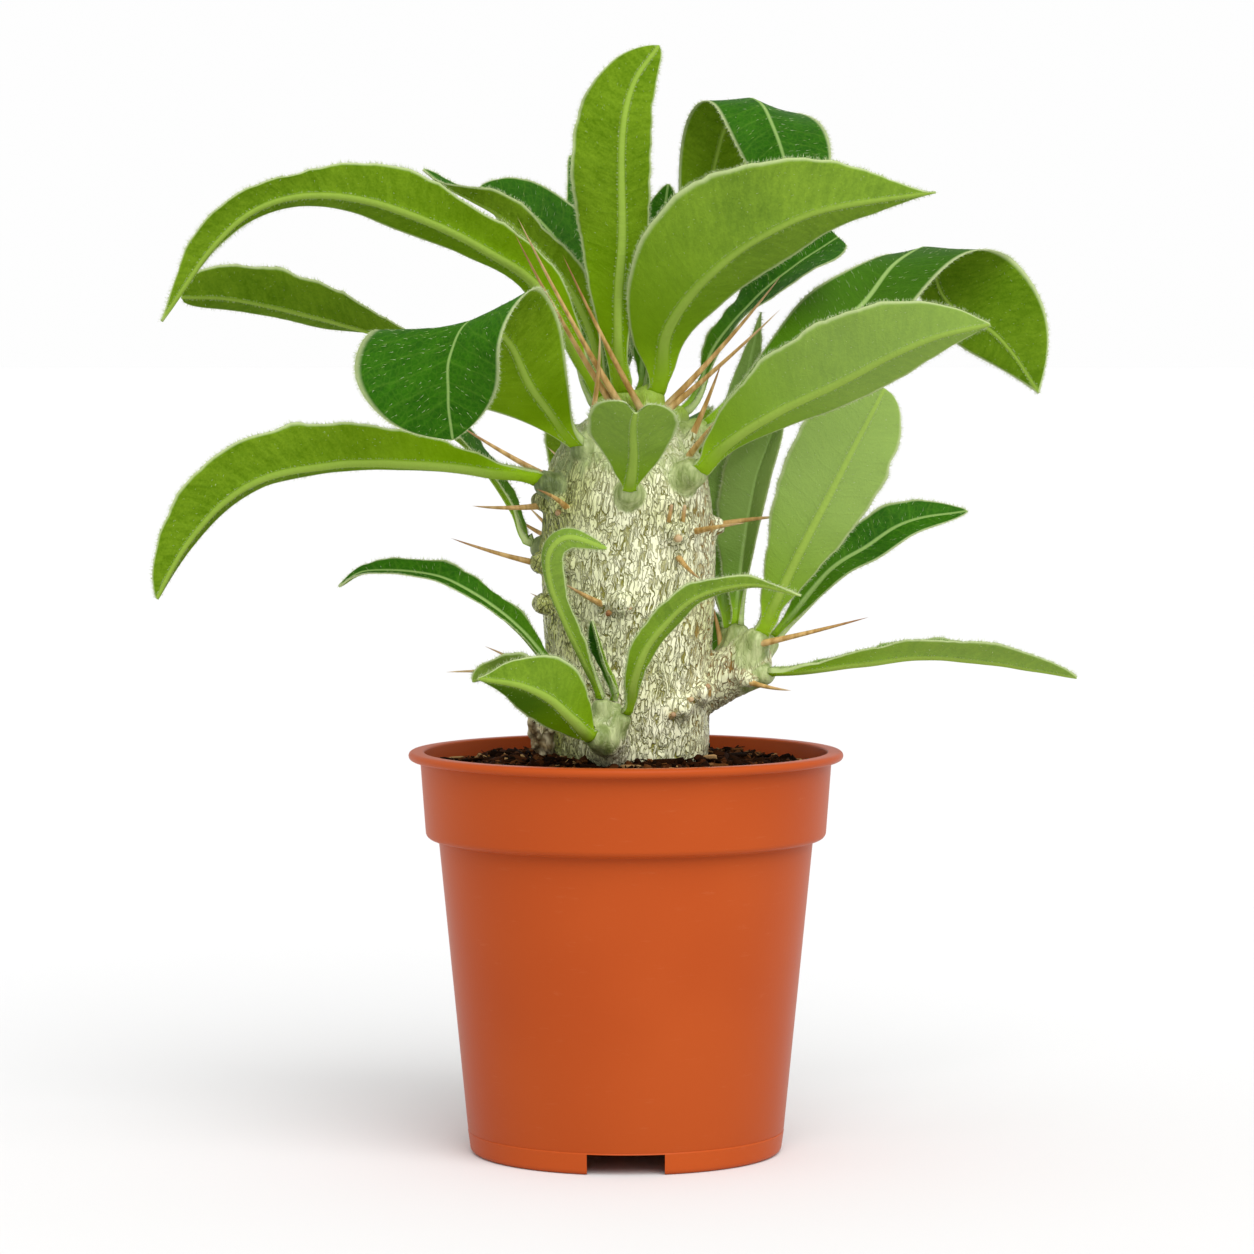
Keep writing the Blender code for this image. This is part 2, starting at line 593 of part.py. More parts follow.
def half_width(leaf, side, share):
    """Half of the blade's width on one side, never narrower than the stalk at the base."""
    which = 1 if side > 0 else 0
    form = max(0, drawn_form(leaf["form"][which], share)) if "form" in leaf else ruled_form(leaf, share)
    half = leaf["halves"][which]
    return math.hypot(half * form, stalk_radius(leaf) * (1 - share) ** 2) + TIP_HALF_WIDTH * share


def frames(leaf, points, tangents, shares):
    """For each point, the direction across the blade and the one out of its upper face."""
    base, out = seat_of(leaf)
    flat = Vector((out.x, out.y, 0)).normalized()
    across = UP.cross(flat)
    made = []
    for tangent, share in zip(tangents, shares):
        across = (across - tangent * across.dot(tangent)).normalized()
        turned = Matrix.Rotation(math.radians(along(leaf["roll"], share)), 3, tangent) @ across
        made.append((turned, tangent.cross(turned)))
    return made


def thickness_at(leaf, side, share):
    """The blade is thin, its midrib stands out below, and the stalk is thick."""
    stalk_thickness = stalk_radius(leaf) * STALK_FORM
    ridge = max(0.0, 1 - abs(side) * 2)
    rib = BLADE + (stalk_thickness * RIB_SHARE - BLADE) * ridge * (1 - share)
    stalk = (1 - share) ** STALK_FADE
    return max(BLADE, rib * (1 - stalk) + stalk_thickness * stalk)


def add_leaf(name, leaf, collection, material):
    """A grid bent to the leaf's midrib, folded and waved, and thickened downwards by Solidify."""
    narrow = max(leaf["halves"]) < NARROW
    rows = NARROW_ROWS if narrow else ROWS
    columns = NARROW_COLUMNS if narrow else COLUMNS
    points, tangents, shares = midrib(leaf, rows)
    sides = frames(leaf, points, tangents, shares)
    bm = bmesh.new()
    bmesh.ops.create_grid(bm, x_segments=rows, y_segments=columns, size=0.5)
    fold = math.radians(leaf["fold"])
    thickest = max(thickness_at(leaf, 0, share) for share in shares)
    weights = {}
    for vert in bm.verts:
        row = round((vert.co.x + 0.5) * rows)
        side = vert.co.y * 2
        share = shares[row]
        across, above = sides[row]
        width = half_width(leaf, side, share)
        envelope = math.sqrt(math.sin(math.pi * share))
        phase = WAVE_TURNS * math.tau * share + (WAVE_LAG if side > 0 else 0)
        wave = leaf["wave"] * envelope * math.sin(phase) * side**2
        lift = width * math.sin(fold) * abs(side) * (1 + ARCH * (1 - abs(side))) + wave
        thick = thickness_at(leaf, side, share)
        weights[vert.index] = thick / thickest
        vert.co = points[row] + across * (side * width * math.cos(fold)) + above * (lift + thick / 2)
    bmesh.ops.triangulate(bm, faces=bm.faces, quad_method="SHORT_EDGE")
    made = add_mesh(name, bm, collection, material)
    group = made.vertex_groups.new(name="thickness")
    for index, weight in weights.items():
        group.add([index], weight, "REPLACE")
    shell = made.modifiers.new("thickness", "SOLIDIFY")
    shell.thickness = thickest * MM
    shell.offset = -1
    shell.vertex_group = "thickness"
    smooth(made, 60)
    return made


def spine_bmesh(root, tip):
    """A spine whose root is sunk into the stem behind the given point."""
    along_spine = (tip - root).normalized()
    return rod_bmesh(root - along_spine * SPINE_ROOT_DEPTH, tip, SPINE_RADIUS, SPINE_TIP_RADIUS, SPINE_SIDES)


def scar_directions():
    """(point on the trunk, outward direction) of each spiny scar, in a spiral that leaves the front bare."""
    made = []
    for index in range(SCAR_COUNT):
        angle = math.radians(SCAR_START + index * SCAR_TURN)
        z = SCAR_LOW + (SCAR_HIGH - SCAR_LOW) * index / (SCAR_COUNT - 1)
        out = Vector((math.cos(angle), math.sin(angle), 0))
        if -out.y > math.cos(math.radians(FRONT_CLEAR)):
            continue
        point = TRUNK_AXIS + out * trunk_radius(z) + UP * z
        made.append((point, out))
    return made


def scar_bmeshes(index, point, out):
    """A low knob with a pair of spines that spread and rise."""
    inner = point - out * SCAR_LENGTH
    outer = point + out * SCAR_LENGTH * SCAR_STANDS_OUT
    made = [rod_bmesh(inner, outer, SCAR_ROOT_RADIUS, SCAR_TIP_RADIUS, SCAR_SIDES)]
    for side in (-1, 1):
        length = PAIR_LENGTHS[(index + side) % len(PAIR_LENGTHS)]
        turned = Matrix.Rotation(math.radians(side * PAIR_SPREAD), 3, "Z") @ out
        heading = (turned + UP * math.tan(math.radians(PAIR_RISE))).normalized()
        made.append(spine_bmesh(point, point + heading * length))
    return made


def add_stem(collection, material):
    """Trunk, side branch, basal offset, leaf cushions, scars and spines, grown as one body."""
    pieces = new_collection("stem_pieces")
    stem = add_mesh("stem", trunk_bmesh(), collection, material)
    made = [
        rod_bmesh(BRANCH_FOOT, BRANCH_TOP, BRANCH_RADIUS, BRANCH_TOP_RADIUS, BRANCH_SIDES),
        ball_bmesh(BRANCH_TOP, Vector((1, 1, 1)) * BRANCH_TOP_RADIUS),
        rod_bmesh(OFFSET_FOOT, OFFSET_TOP, OFFSET_RADIUS, OFFSET_TOP_RADIUS, OFFSET_SIDES),
        ball_bmesh(SCALE_CENTRE, SCALE_SIZE, 8, 6),
    ]
    made += [cushion_bmesh(leaf) for leaf in LEAVES.values()]
    for index, (point, out) in enumerate(scar_directions()):
        made += scar_bmeshes(index, point, out)
    made += [spine_bmesh(Vector(root), Vector(tip)) for root, tip in SPINES]
    for index, bm in enumerate(made):
        add_mesh(f"stem_piece_{index}", bm, pieces)
    add_boolean(stem, "UNION", collection=pieces, solver="MANIFOLD")
    baked(stem)
    for piece in list(pieces.objects):
        bpy.data.objects.remove(piece)
    bpy.data.collections.remove(pieces)
    stem.data.materials.clear()
    stem.data.materials.append(material)
    smooth(stem, 50)
    return stem


def add_soil(collection, cutters, material):
    """The filling of peat, with a plain hole in which the stem stands."""
    bm = turned_bmesh(soil_profile(), ROUND_STEPS, (0, 0, 0))
    for vert in bm.verts:
        if vert.co.z > SOIL_EDGE:
            vert.co.z += soil_relief(vert.co)
    soil = add_mesh("soil", bm, collection, material)
    hole = trunk_bmesh(grown=HOLE_GAP)
    add_boolean(soil, "DIFFERENCE", add_cutter("trunk_hole_cutter", hole, cutters))
    hole = rod_bmesh(
        OFFSET_FOOT, OFFSET_TOP, OFFSET_RADIUS + HOLE_GAP, OFFSET_TOP_RADIUS + HOLE_GAP, OFFSET_SIDES)
    add_boolean(soil, "DIFFERENCE", add_cutter("offset_hole_cutter", hole, cutters))
    smooth(soil, 40)
    return soil


def main():
    clear_scene()
    plant = new_collection("potted_pachypodium")
    cutters = new_collection("cutters")
    clay = new_material("pot_plastic", (0.58, 0.13, 0.035), 0.42)
    peat = new_material("soil", (0.03, 0.017, 0.009), 0.95)
    bark = new_material("stem_bark", (0.55, 0.55, 0.4), 0.35)
    green = new_material("leaf", (0.13, 0.27, 0.03), 0.45)
    add_pot(plant, cutters, clay)
    add_soil(plant, cutters, peat)
    add_stem(plant, bark)
    for name, leaf in LEAVES.items():
        add_leaf(name, leaf, plant, green)


main()
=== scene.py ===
# %% [markdown]
# # A potted pachypodium, dressed for its portrait
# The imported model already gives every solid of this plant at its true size: a nursery pot, the peat in it,
# one swollen stem and thirty-two leaves. This lesson keeps those forms and makes each of them finer.
# It goes from the bottom of the plant to its top: the pot, the peat, the stem with its foil-like bark,
# the spines, the leaves, and last the short white hairs that give the leaf edges their pale outline.

# %% [markdown]
# ## The frame
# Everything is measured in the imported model's own frame. Lengths in this lesson are written in millimetres,
# as a gardener would give them, and a mesh is brought to Blender's metres as the last step of its making.

# %% Load the frame
import math
import random

import bmesh
import bpy
import numpy as np
from mathutils import Matrix, Vector, noise


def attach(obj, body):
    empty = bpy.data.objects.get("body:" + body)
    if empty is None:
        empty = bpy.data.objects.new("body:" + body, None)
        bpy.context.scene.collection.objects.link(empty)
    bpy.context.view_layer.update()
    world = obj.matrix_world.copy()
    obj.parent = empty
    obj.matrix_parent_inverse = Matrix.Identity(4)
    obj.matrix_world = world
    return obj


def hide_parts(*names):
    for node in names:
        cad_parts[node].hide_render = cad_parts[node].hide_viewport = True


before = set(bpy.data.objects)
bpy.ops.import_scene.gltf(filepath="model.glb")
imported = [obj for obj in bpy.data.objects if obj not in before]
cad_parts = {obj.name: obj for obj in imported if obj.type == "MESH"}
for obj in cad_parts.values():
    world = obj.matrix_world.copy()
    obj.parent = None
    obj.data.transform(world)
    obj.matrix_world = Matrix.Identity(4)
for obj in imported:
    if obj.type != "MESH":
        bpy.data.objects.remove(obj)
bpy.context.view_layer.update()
MM = 0.001
UP = Vector((0, 0, 1))
noise.seed_set(4)  # without a seed, noise_vector starts somewhere else in each run
print("nodes in the frame:", len(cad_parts))

# %% [markdown]
# ## From a bmesh to a piece of the plant
# A bmesh is Blender's workbench for geometry, and an object is what the scene shows. The helper below takes a
# finished bmesh off the bench. Every piece then rides on the model's only body and says which plain solid it
# stands for, if there is one.

# %% Helpers that finish a piece
def piece_from(bm, name, *materials):
    """An object at the origin from a bmesh in millimetres."""
    bmesh.ops.scale(bm, vec=(MM, MM, MM), verts=bm.verts)
    mesh = bpy.data.meshes.new(name)
    bm.to_mesh(mesh)
    bm.free()
    return piece_of(mesh, name, *materials)


def piece_of(mesh, name, *materials):
    made = bpy.data.objects.new(name, mesh)
    bpy.context.scene.collection.objects.link(made)
    for material in materials:
        mesh.materials.append(material)
    mesh.shade_smooth()
    return made


def settle(piece, slot, *nodes):
    """The piece rides on the plant and stands for the named solids; slot is not used."""
    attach(piece, "root")
    if nodes:
        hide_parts(*nodes)
    return piece


def store(mesh, name, values):
    """One number per vertex, which a material can read."""
    layer = mesh.attributes.new(name, "FLOAT", "POINT")
    layer.data.foreach_set("value", np.asarray(values, dtype=np.float32))


def triangles(piece):
    graph = bpy.context.evaluated_depsgraph_get()
    mesh = piece.evaluated_get(graph).to_mesh()
    count = sum(len(face.vertices) - 2 for face in mesh.polygons)
    piece.evaluated_get(graph).to_mesh_clear()
    return count


# %% [markdown]
# ## Writing shaders as sums
# A material is a graph of nodes, and most of its nodes are arithmetic. `Wire` wraps one output socket and
# overloads the operators, so that `1 - mask * 0.4` adds the Math nodes by itself. `Finish` is one material: its
# `add` method makes any other node from its type, its settings and the values or links of its sockets.

# %% A small language for shaders
class Wire:
    """The output of a node, which can be used in arithmetic."""

    def __init__(self, finish, socket):
        self.finish = finish
        self.socket = socket

    def math(self, operation, *others):
        values = {index: other for index, other in enumerate((self, *others))}
        return self.finish.add("ShaderNodeMath", {"operation": operation}, values)

    def __add__(self, other):
        return self.math("ADD", other)

    def __mul__(self, other):
        return self.math("MULTIPLY", other)

    def __sub__(self, other):
        return self.math("SUBTRACT", other)

    def __rsub__(self, other):
        return self.finish.add("ShaderNodeMath", {"operation": "SUBTRACT"}, {0: other, 1: self})

    __radd__ = __add__
    __rmul__ = __mul__

    def between(self, low, high):
        """0 at low, 1 at high, smooth between them and level outside."""
        settings = {"interpolation_type": "SMOOTHSTEP"}
        values = {"Value": self, "From Min": low, "From Max": high}
        return self.finish.add("ShaderNodeMapRange", settings, values)


def colour(text):
    """A screen colour such as 6B8F28 as the linear values that a shader works with."""
    parts = [int(text[i:i + 2], 16) / 255 for i in (0, 2, 4)]
    linear = [c / 12.92 if c <= 0.04045 else ((c + 0.055) / 1.055) ** 2.4 for c in parts]
    return (*linear, 1.0)


class Finish:
    """One material with a Principled shader."""

    def __init__(self, name, **constants):
        self.material = bpy.data.materials.new(name)
        self.material.use_nodes = True
        self.tree = self.material.node_tree
        self.shader = self.tree.nodes["Principled BSDF"]
        for socket, value in constants.items():
            self.shader.inputs[socket.replace("_", " ")].default_value = value

    def plug(self, socket, value):
        if isinstance(value, Wire):
            self.tree.links.new(value.socket, socket)
        else:
            socket.default_value = value

    def add(self, kind, settings=(), inputs=(), output=0):
        """Any node. Settings name its options, or the stops of a colour ramp, and inputs what is plugged in."""
        made = self.tree.nodes.new(kind)
        for name, value in dict(settings).items():
            if name == "stops":
                self.set_stops(made.color_ramp, value)
            else:
                setattr(made, name, value)
        for name, value in dict(inputs).items():
            self.plug(made.inputs[name], value)
        return Wire(self, made.outputs[output])

    def set_stops(self, ramp, stops):
        while len(ramp.elements) < len(stops):
            ramp.elements.new(0.5)
        for element, (place, shade) in zip(ramp.elements, stops):
            element.position = place
            element.color = shade

    def place(self, stretch=(1, 1, 1)):
        """Object coordinates, stretched."""
        here = self.add("ShaderNodeTexCoord", output="Object")
        return self.add("ShaderNodeMapping", {}, {"Vector": here, "Scale": stretch})

    def noise(self, scale, detail=2.0, roughness=0.5, where=None):
        inputs = {"Vector": where or self.place(), "Scale": scale, "Detail": detail, "Roughness": roughness}
        return self.add("ShaderNodeTexNoise", {}, inputs)

    def axis(self, index, vector=None):
        """One coordinate of a vector: 0, 1 or 2 for X, Y or Z."""
        return self.add("ShaderNodeSeparateXYZ", {}, {0: vector or self.place()}, output=index)

    def lines(self, scale, narrow, wide, where):
        """Thin winding lines, where a smooth noise passes its middle."""
        middle = (self.noise(scale, 1, 0.5, where) - 0.5).math("ABSOLUTE")
        return 1 - middle.between(narrow, wide)

    def reading(self, name):
        """A number that the mesh stores at its vertices."""
        return self.add("ShaderNodeAttribute", {"attribute_name": name}, output="Fac")

    def blend(self, mask, first, second):
        """From the first colour to the second as the mask goes from 0 to 1."""
        inputs = {0: mask, 6: first, 7: second}
        return self.add("ShaderNodeMix", {"data_type": "RGBA", "clamp_factor": True}, inputs, output=2)

    def shape(self, height, distance, strength=1.0):
        """Fine relief that is too small to model."""
        inputs = {"Height": height, "Distance": distance, "Strength": strength}
        self.feed(Normal=self.add("ShaderNodeBump", {}, inputs))

    def feed(self, **wires):
        for name, value in wires.items():
            self.plug(self.shader.inputs[name.replace("_", " ")], value)


print("helpers ready")

# %% [markdown]
# ## The pot
# The real pot is injection moulded: thin walls, a rolled rim, a wider band under it that lets pots nest, and a
# foot ring with three notches that let water out. It could be a stack of cylinders, but a turned form is one
# continuous wall, so its outline is drawn once as a profile and spun round the axis, as on a lathe.

# %% Pot: its outline
POT_HEIGHT = 111.0
RIM_RADIUS = 60.0
RIM_LIP_DROP = 2.4
BAND_TOP_RADIUS = 56.9
BAND_BOTTOM_RADIUS = 55.3
BAND_BOTTOM = 87.0
BAND_CORNER = 1.8
BODY_TOP_RADIUS = 51.7
FOOT_RADIUS = 43.2
WALL = 1.3
EDGE_BEVEL = 0.6
FOOT_FILLET = 1.6
SMALL_STEP = 0.35
LINE_RISE = 0.4  # a faint line runs round the foot this far above the notches
LINE_DEPTH = 0.22
FLOOR_UNDERSIDE = 6.6
FLOOR_THICKNESS = 1.5
NOTCH_HEIGHT = 5.7


def body_radius(z):
    return FOOT_RADIUS + (BODY_TOP_RADIUS - FOOT_RADIUS) * z / BAND_BOTTOM


def band_radius(z):
    share = (z - BAND_BOTTOM) / (POT_HEIGHT - BAND_BOTTOM)
    return BAND_BOTTOM_RADIUS + (BAND_TOP_RADIUS - BAND_BOTTOM_RADIUS) * share


def fillet(centre_r, centre_z, radius, start, end, count=6):
    """Points of a rounded corner, from one angle to another in degrees."""
    angles = [math.radians(start + (end - start) * i / count) for i in range(count + 1)]
    return [(centre_r + radius * math.cos(a), centre_z + radius * math.sin(a)) for a in angles]


def pot_outline():
    """From the middle of the floor, up inside, over the rim, down outside and back under the floor."""
    floor_top = FLOOR_UNDERSIDE + FLOOR_THICKNESS
    lip = RIM_LIP_DROP / 2
    inner_top = band_radius(POT_HEIGHT) - WALL
    inside = [
        (0, floor_top),
        (body_radius(floor_top) - WALL, floor_top),
        (body_radius(BAND_BOTTOM) - WALL, BAND_BOTTOM + WALL),
        (band_radius(BAND_BOTTOM) - WALL, BAND_BOTTOM + WALL),
        (inner_top, POT_HEIGHT - EDGE_BEVEL),
    ]
    rim = fillet(inner_top + EDGE_BEVEL, POT_HEIGHT - EDGE_BEVEL, EDGE_BEVEL, 180, 90, 4)[1:]
    rim += fillet(RIM_RADIUS - lip, POT_HEIGHT - lip, lip, 90, -90, 10)
    under_lip = POT_HEIGHT - RIM_LIP_DROP
    tuck = [(band_radius(under_lip) + SMALL_STEP, under_lip)]
    tuck += [(band_radius(under_lip), under_lip - SMALL_STEP)]
    corner = fillet(BAND_BOTTOM_RADIUS - BAND_CORNER, BAND_BOTTOM + BAND_CORNER, BAND_CORNER, 0, -90, 8)
    groove = body_radius(BAND_BOTTOM)
    foot = [(groove + 0.5, BAND_BOTTOM), (groove, BAND_BOTTOM - 0.5)]
    line = NOTCH_HEIGHT + LINE_RISE
    for step, depth in ((SMALL_STEP, 0), (0, LINE_DEPTH), (-SMALL_STEP, 0)):
        foot.append((body_radius(line) - depth, line + step))
    foot += fillet(FOOT_RADIUS - FOOT_FILLET, FOOT_FILLET, FOOT_FILLET, 0, -80, 6)
    foot += [(FOOT_RADIUS - WALL, 0.2), (FOOT_RADIUS - WALL, FLOOR_UNDERSIDE), (0, FLOOR_UNDERSIDE)]
    return inside + rim + tuck + corner + foot


def turned(outline, steps):
    """A closed round body from an outline of (radius, height) that starts and ends on the axis."""
    bm = bmesh.new()
    corners = [bm.verts.new((r, 0, z)) for r, z in outline]
    edges = [bm.edges.new(pair) for pair in zip(corners, corners[1:])]
    bmesh.ops.spin(
        bm, geom=corners + edges, cent=(0, 0, 0), axis=UP, angle=math.tau, steps=steps, use_merge=True)
    bmesh.ops.remove_doubles(bm, verts=bm.verts, dist=0.0005)
    bmesh.ops.recalc_face_normals(bm, faces=bm.faces)
    return bm


print("outline points:", len(pot_outline()))

# %% [markdown]
# ## Pot plastic
# Moulded polypropylene in terracotta orange is slightly waxy: broad soft highlights, hardly any texture, a
# breath of dust, and scuffs where pots slide into each other. A single flat colour would look painted, so a
# wide, very faint noise shifts the tone, and a fine one gives the skin its orange-peel shimmer.

# %% Pot: its plastic
plastic = Finish("pot_plastic_satin", Roughness=0.4, Specular_IOR_Level=0.08)
broad = plastic.noise(14, 2).between(0.3, 0.7)
grain = plastic.noise(1500, 2)
scuffs = plastic.noise(120, 4, 0.7, plastic.place((1, 1, 6))).between(0.6, 0.78)
body_tone = plastic.blend(broad, colour("AE491B"), colour("B6501F"))
plastic.feed(
    Base_Color=plastic.blend(scuffs * 0.14, body_tone, colour("C97B55")),
    Roughness=0.34 + broad * 0.06 + scuffs * 0.12)
plastic.shape(grain, 0.00004, 0.5)

# %% [markdown]
# ## Notches and drain holes
# The openings are cut by Boolean modifiers, which keep the wall's thickness in their edges. Each cutter is
# removed as soon as its cut is baked into the mesh. Edges that turn by more than 32 degrees are marked sharp,
# so that the walls shade smoothly right up to a cut.

# %% Pot: cut and finished
NOTCH_WIDTH = 21.0
NOTCH_COUNT = 3
NOTCH_REACH = 20.0
NOTCH_BELOW = 10.0
DRAIN_RADIUS = 4.0
DRAIN_DEPTH = 12.0
DRAIN_CIRCLE = 30.0
DRAIN_COUNT = 6
DRAIN_TURN = math.radians(3)
SHARP_FROM = math.radians(32)


def baked(piece):
    """Replaces the mesh by what its modifiers make of it."""
    bpy.context.view_layer.update()
    graph = bpy.context.evaluated_depsgraph_get()
    mesh = bpy.data.meshes.new_from_object(piece.evaluated_get(graph))
    piece.modifiers.clear()
    piece.data = mesh
    return piece


def cut(piece, cutters):
    tools = [piece_from(bm, f"cutter_{index}") for index, bm in enumerate(cutters)]
    for tool in tools:
        boolean = piece.modifiers.new("cut", "BOOLEAN")
        boolean.operation = "DIFFERENCE"
        boolean.solver = "EXACT"
        boolean.object = tool
    baked(piece)
    for tool in tools:
        bpy.data.objects.remove(tool)


def notch_cutters():
    for index in range(NOTCH_COUNT):
        bm = bmesh.new()
        bmesh.ops.create_cube(bm, size=1)
        bmesh.ops.scale(bm, vec=(NOTCH_WIDTH, NOTCH_REACH, NOTCH_HEIGHT + NOTCH_BELOW), verts=bm.verts)
        bmesh.ops.translate(bm, vec=(0, -FOOT_RADIUS, (NOTCH_HEIGHT - NOTCH_BELOW) / 2), verts=bm.verts)
        turn = Matrix.Rotation(math.tau * index / NOTCH_COUNT, 3, "Z")
        bmesh.ops.rotate(bm, matrix=turn, verts=bm.verts)
        yield bm


def drain_cutters():
    for index in range(DRAIN_COUNT):
        angle = math.tau * (index + 0.5) / DRAIN_COUNT + DRAIN_TURN
        bm = bmesh.new()
        bmesh.ops.create_cone(
            bm, cap_ends=True, segments=28, radius1=DRAIN_RADIUS, radius2=DRAIN_RADIUS, depth=DRAIN_DEPTH)
        centre = (DRAIN_CIRCLE * math.cos(angle), DRAIN_CIRCLE * math.sin(angle), FLOOR_UNDERSIDE)
        bmesh.ops.translate(bm, vec=centre, verts=bm.verts)
        yield bm


pot = piece_from(turned(pot_outline(), 160), "pot_moulded", plastic.material)
cut(pot, [*notch_cutters(), *drain_cutters()])
pot.data.set_sharp_from_angle(angle=SHARP_FROM)
settle(pot, "pot_plastic", "pot")
print("pot triangles:", triangles(pot))

# %% [markdown]
# ## The peat
# Potting peat is a heap of crumbs, bark chips and fibres, dark brown where it is moist and paler where the top
# dries. One bumpy sheet would look like mud, so a displaced mound is only the bed, and over two thousand small
# loose pieces are strewn over it by one rule with a fixed seed.

# %% Peat: the bed
SOIL_EDGE = 105.5
SOIL_MOUND = 4.2
SOIL_RINGS = 70
SOIL_STEPS = 200
SOIL_REACH = band_radius(SOIL_EDGE) - WALL - 0.3
SOIL_DEPTH = 14.0
STEM_CLEAR = 17.0  # nothing is strewn this close to the axis, where the stem stands
WALL_CLEAR = 1.9  # nor this close to the wall


def soil_height(x, y):
    """Height of the peat over a point, with lumps that die away towards the wall."""
    radius = math.hypot(x, y)
    calm = min(1.0, max(0.0, (SOIL_REACH - radius) / 4))
    here = Vector((x, y, 0))
    lumps = 1.5 * noise.noise(here * 0.19)
    clods = 0.75 * noise.noise(here * 0.55 + Vector((3, 1, 7)))
    crumbs = 0.4 * noise.noise(here * 1.5 + Vector((9, 4, 2)))
    mound = SOIL_MOUND * (1 - min(1, radius / SOIL_REACH) ** 2)
    return SOIL_EDGE + mound + calm * (lumps + clods) + crumbs * min(1, calm + 0.3)


def soil_outline():
    top = [(SOIL_REACH * ring / SOIL_RINGS, SOIL_EDGE) for ring in range(SOIL_RINGS + 1)]
    return top + [(SOIL_REACH - 1, SOIL_EDGE - SOIL_DEPTH), (0, SOIL_EDGE - SOIL_DEPTH)]


peat = Finish("peat", Roughness=0.9, Specular_IOR_Level=0.04)
crumb_tone = peat.noise(420, 4, 0.65).between(0.35, 0.72)
patches = peat.noise(45, 2).between(0.35, 0.65)
dark = peat.blend(patches, colour("140701"), colour("210E03"))
peat.feed(Base_Color=peat.blend(crumb_tone * 0.7, dark, colour("3A1D09")))
peat.shape(peat.noise(900, 4, 0.7), 0.0006)

bm = turned(soil_outline(), SOIL_STEPS)
for vert in bm.verts:
    if vert.co.z > SOIL_EDGE - 1:
        vert.co.z = soil_height(vert.co.x, vert.co.y)
soil = settle(piece_from(bm, "peat_bed", peat.material), "soil", "soil")
print("peat bed triangles:", triangles(soil))

# %% [markdown]
# ## Strewing copies
# Crumbs, fibres, spines and hairs are all one small shape repeated at many places. Instances would be lost on
# export, so `strewn` writes real copies: a template is shaped once with bmesh operators, and numpy repeats it
# under one matrix per copy. Each copy carries its own random `tone`, and each vertex its height in the
# template as `along`, so that a material can shade a spine from root to tip.

# %% A helper that repeats a template
def strewn(template, matrices, name, material, seed=1):
    """One mesh of copies of a template bmesh, placed by 4 x 4 matrices in millimetres."""
    template.verts.ensure_lookup_table()
    shape = np.array([(*vert.co, 1.0) for vert in template.verts])
    faces = [[vert.index for vert in face.verts] for face in template.faces]
    template.free()
    placed = np.einsum("nij,vj->nvi", np.array(matrices), shape)[:, :, :3].reshape(-1, 3) * MM
    starts = np.arange(len(matrices)) * len(shape)
    sides = np.array([len(face) for face in faces])
    corners = np.concatenate([np.array(face) for face in faces])
    loops = (starts[:, None] + corners[None, :]).ravel()
    mesh = bpy.data.meshes.new(name)
    mesh.vertices.add(len(placed))
    mesh.vertices.foreach_set("co", placed.ravel())
    mesh.loops.add(len(loops))
    mesh.loops.foreach_set("vertex_index", loops)
    mesh.polygons.add(len(faces) * len(matrices))
    ends = np.cumsum(np.tile(sides, len(matrices)))
    mesh.polygons.foreach_set("loop_start", ends - np.tile(sides, len(matrices)))
    mesh.update(calc_edges=True)
    rng = np.random.default_rng(seed)
    low, high = shape[:, 2].min(), shape[:, 2].max()
    store(mesh, "along", np.tile((shape[:, 2] - low) / (high - low), len(matrices)))
    store(mesh, "tone", np.repeat(rng.random(len(matrices)), len(shape)))
    return piece_of(mesh, name, material)


def pose(centre, direction, size, spin=0.0):
    """A matrix that puts a template's +Z along a direction, scaled by size and turned about itself."""
    turn = Vector(direction).to_track_quat("Z", "Y").to_matrix().to_4x4()
    scale = Matrix.Diagonal((*size, 1.0))
    return Matrix.Translation(centre) @ turn @ Matrix.Rotation(spin, 4, "Z") @ scale


def random_direction(rng, flatness=1.0):
    angle = rng.uniform(0, math.tau)
    return Vector((math.cos(angle), math.sin(angle), rng.uniform(-1, 1) * flatness)).normalized()


print("strewing ready")

# %% [markdown]
# ## Crumbs, chips and fibres
# Three templates cover the mix: a knobbly crumb, a flat chip of bark and a bent fibre. All lie inside the
# pot's wall and clear of the stem, and they are sunk to about half of their height.

# %% Peat: what lies on it
def crumb_template():
    bm = bmesh.new()
    bmesh.ops.create_icosphere(bm, subdivisions=1, radius=1)
    for vert in bm.verts:
        vert.co *= 1 + 0.5 * noise.noise(vert.co * 1.3 + Vector((3, 0, 0)))
    return bm


def chip_template():
    bm = bmesh.new()
    bmesh.ops.create_cube(bm, size=2)
    bmesh.ops.bevel(
        bm, geom=bm.edges[:], offset=0.35, affect="EDGES", segments=1, profile=0.5, material=-1)
    for vert in bm.verts:
        vert.co.x += 0.3 * vert.co.z ** 2
    return bm


def fibre_template():
    bm = bmesh.new()
    bmesh.ops.create_cone(bm, cap_ends=True, segments=4, radius1=1, radius2=0.4, depth=2)
    upright = [edge for edge in bm.edges if abs(edge.verts[0].co.z - edge.verts[1].co.z) > 1]
    bmesh.ops.subdivide_edges(bm, edges=upright, cuts=4, use_grid_fill=True)
    for vert in bm.verts:
        vert.co.x += 3.0 * (1 - vert.co.z ** 2)
    return bm


def on_the_peat(rng, clear=STEM_CLEAR):
    reach = SOIL_REACH - WALL_CLEAR
    while True:
        x, y = rng.uniform(-reach, reach), rng.uniform(-reach, reach)
        if clear < math.hypot(x, y) < reach:
            return Vector((x, y, soil_height(x, y)))


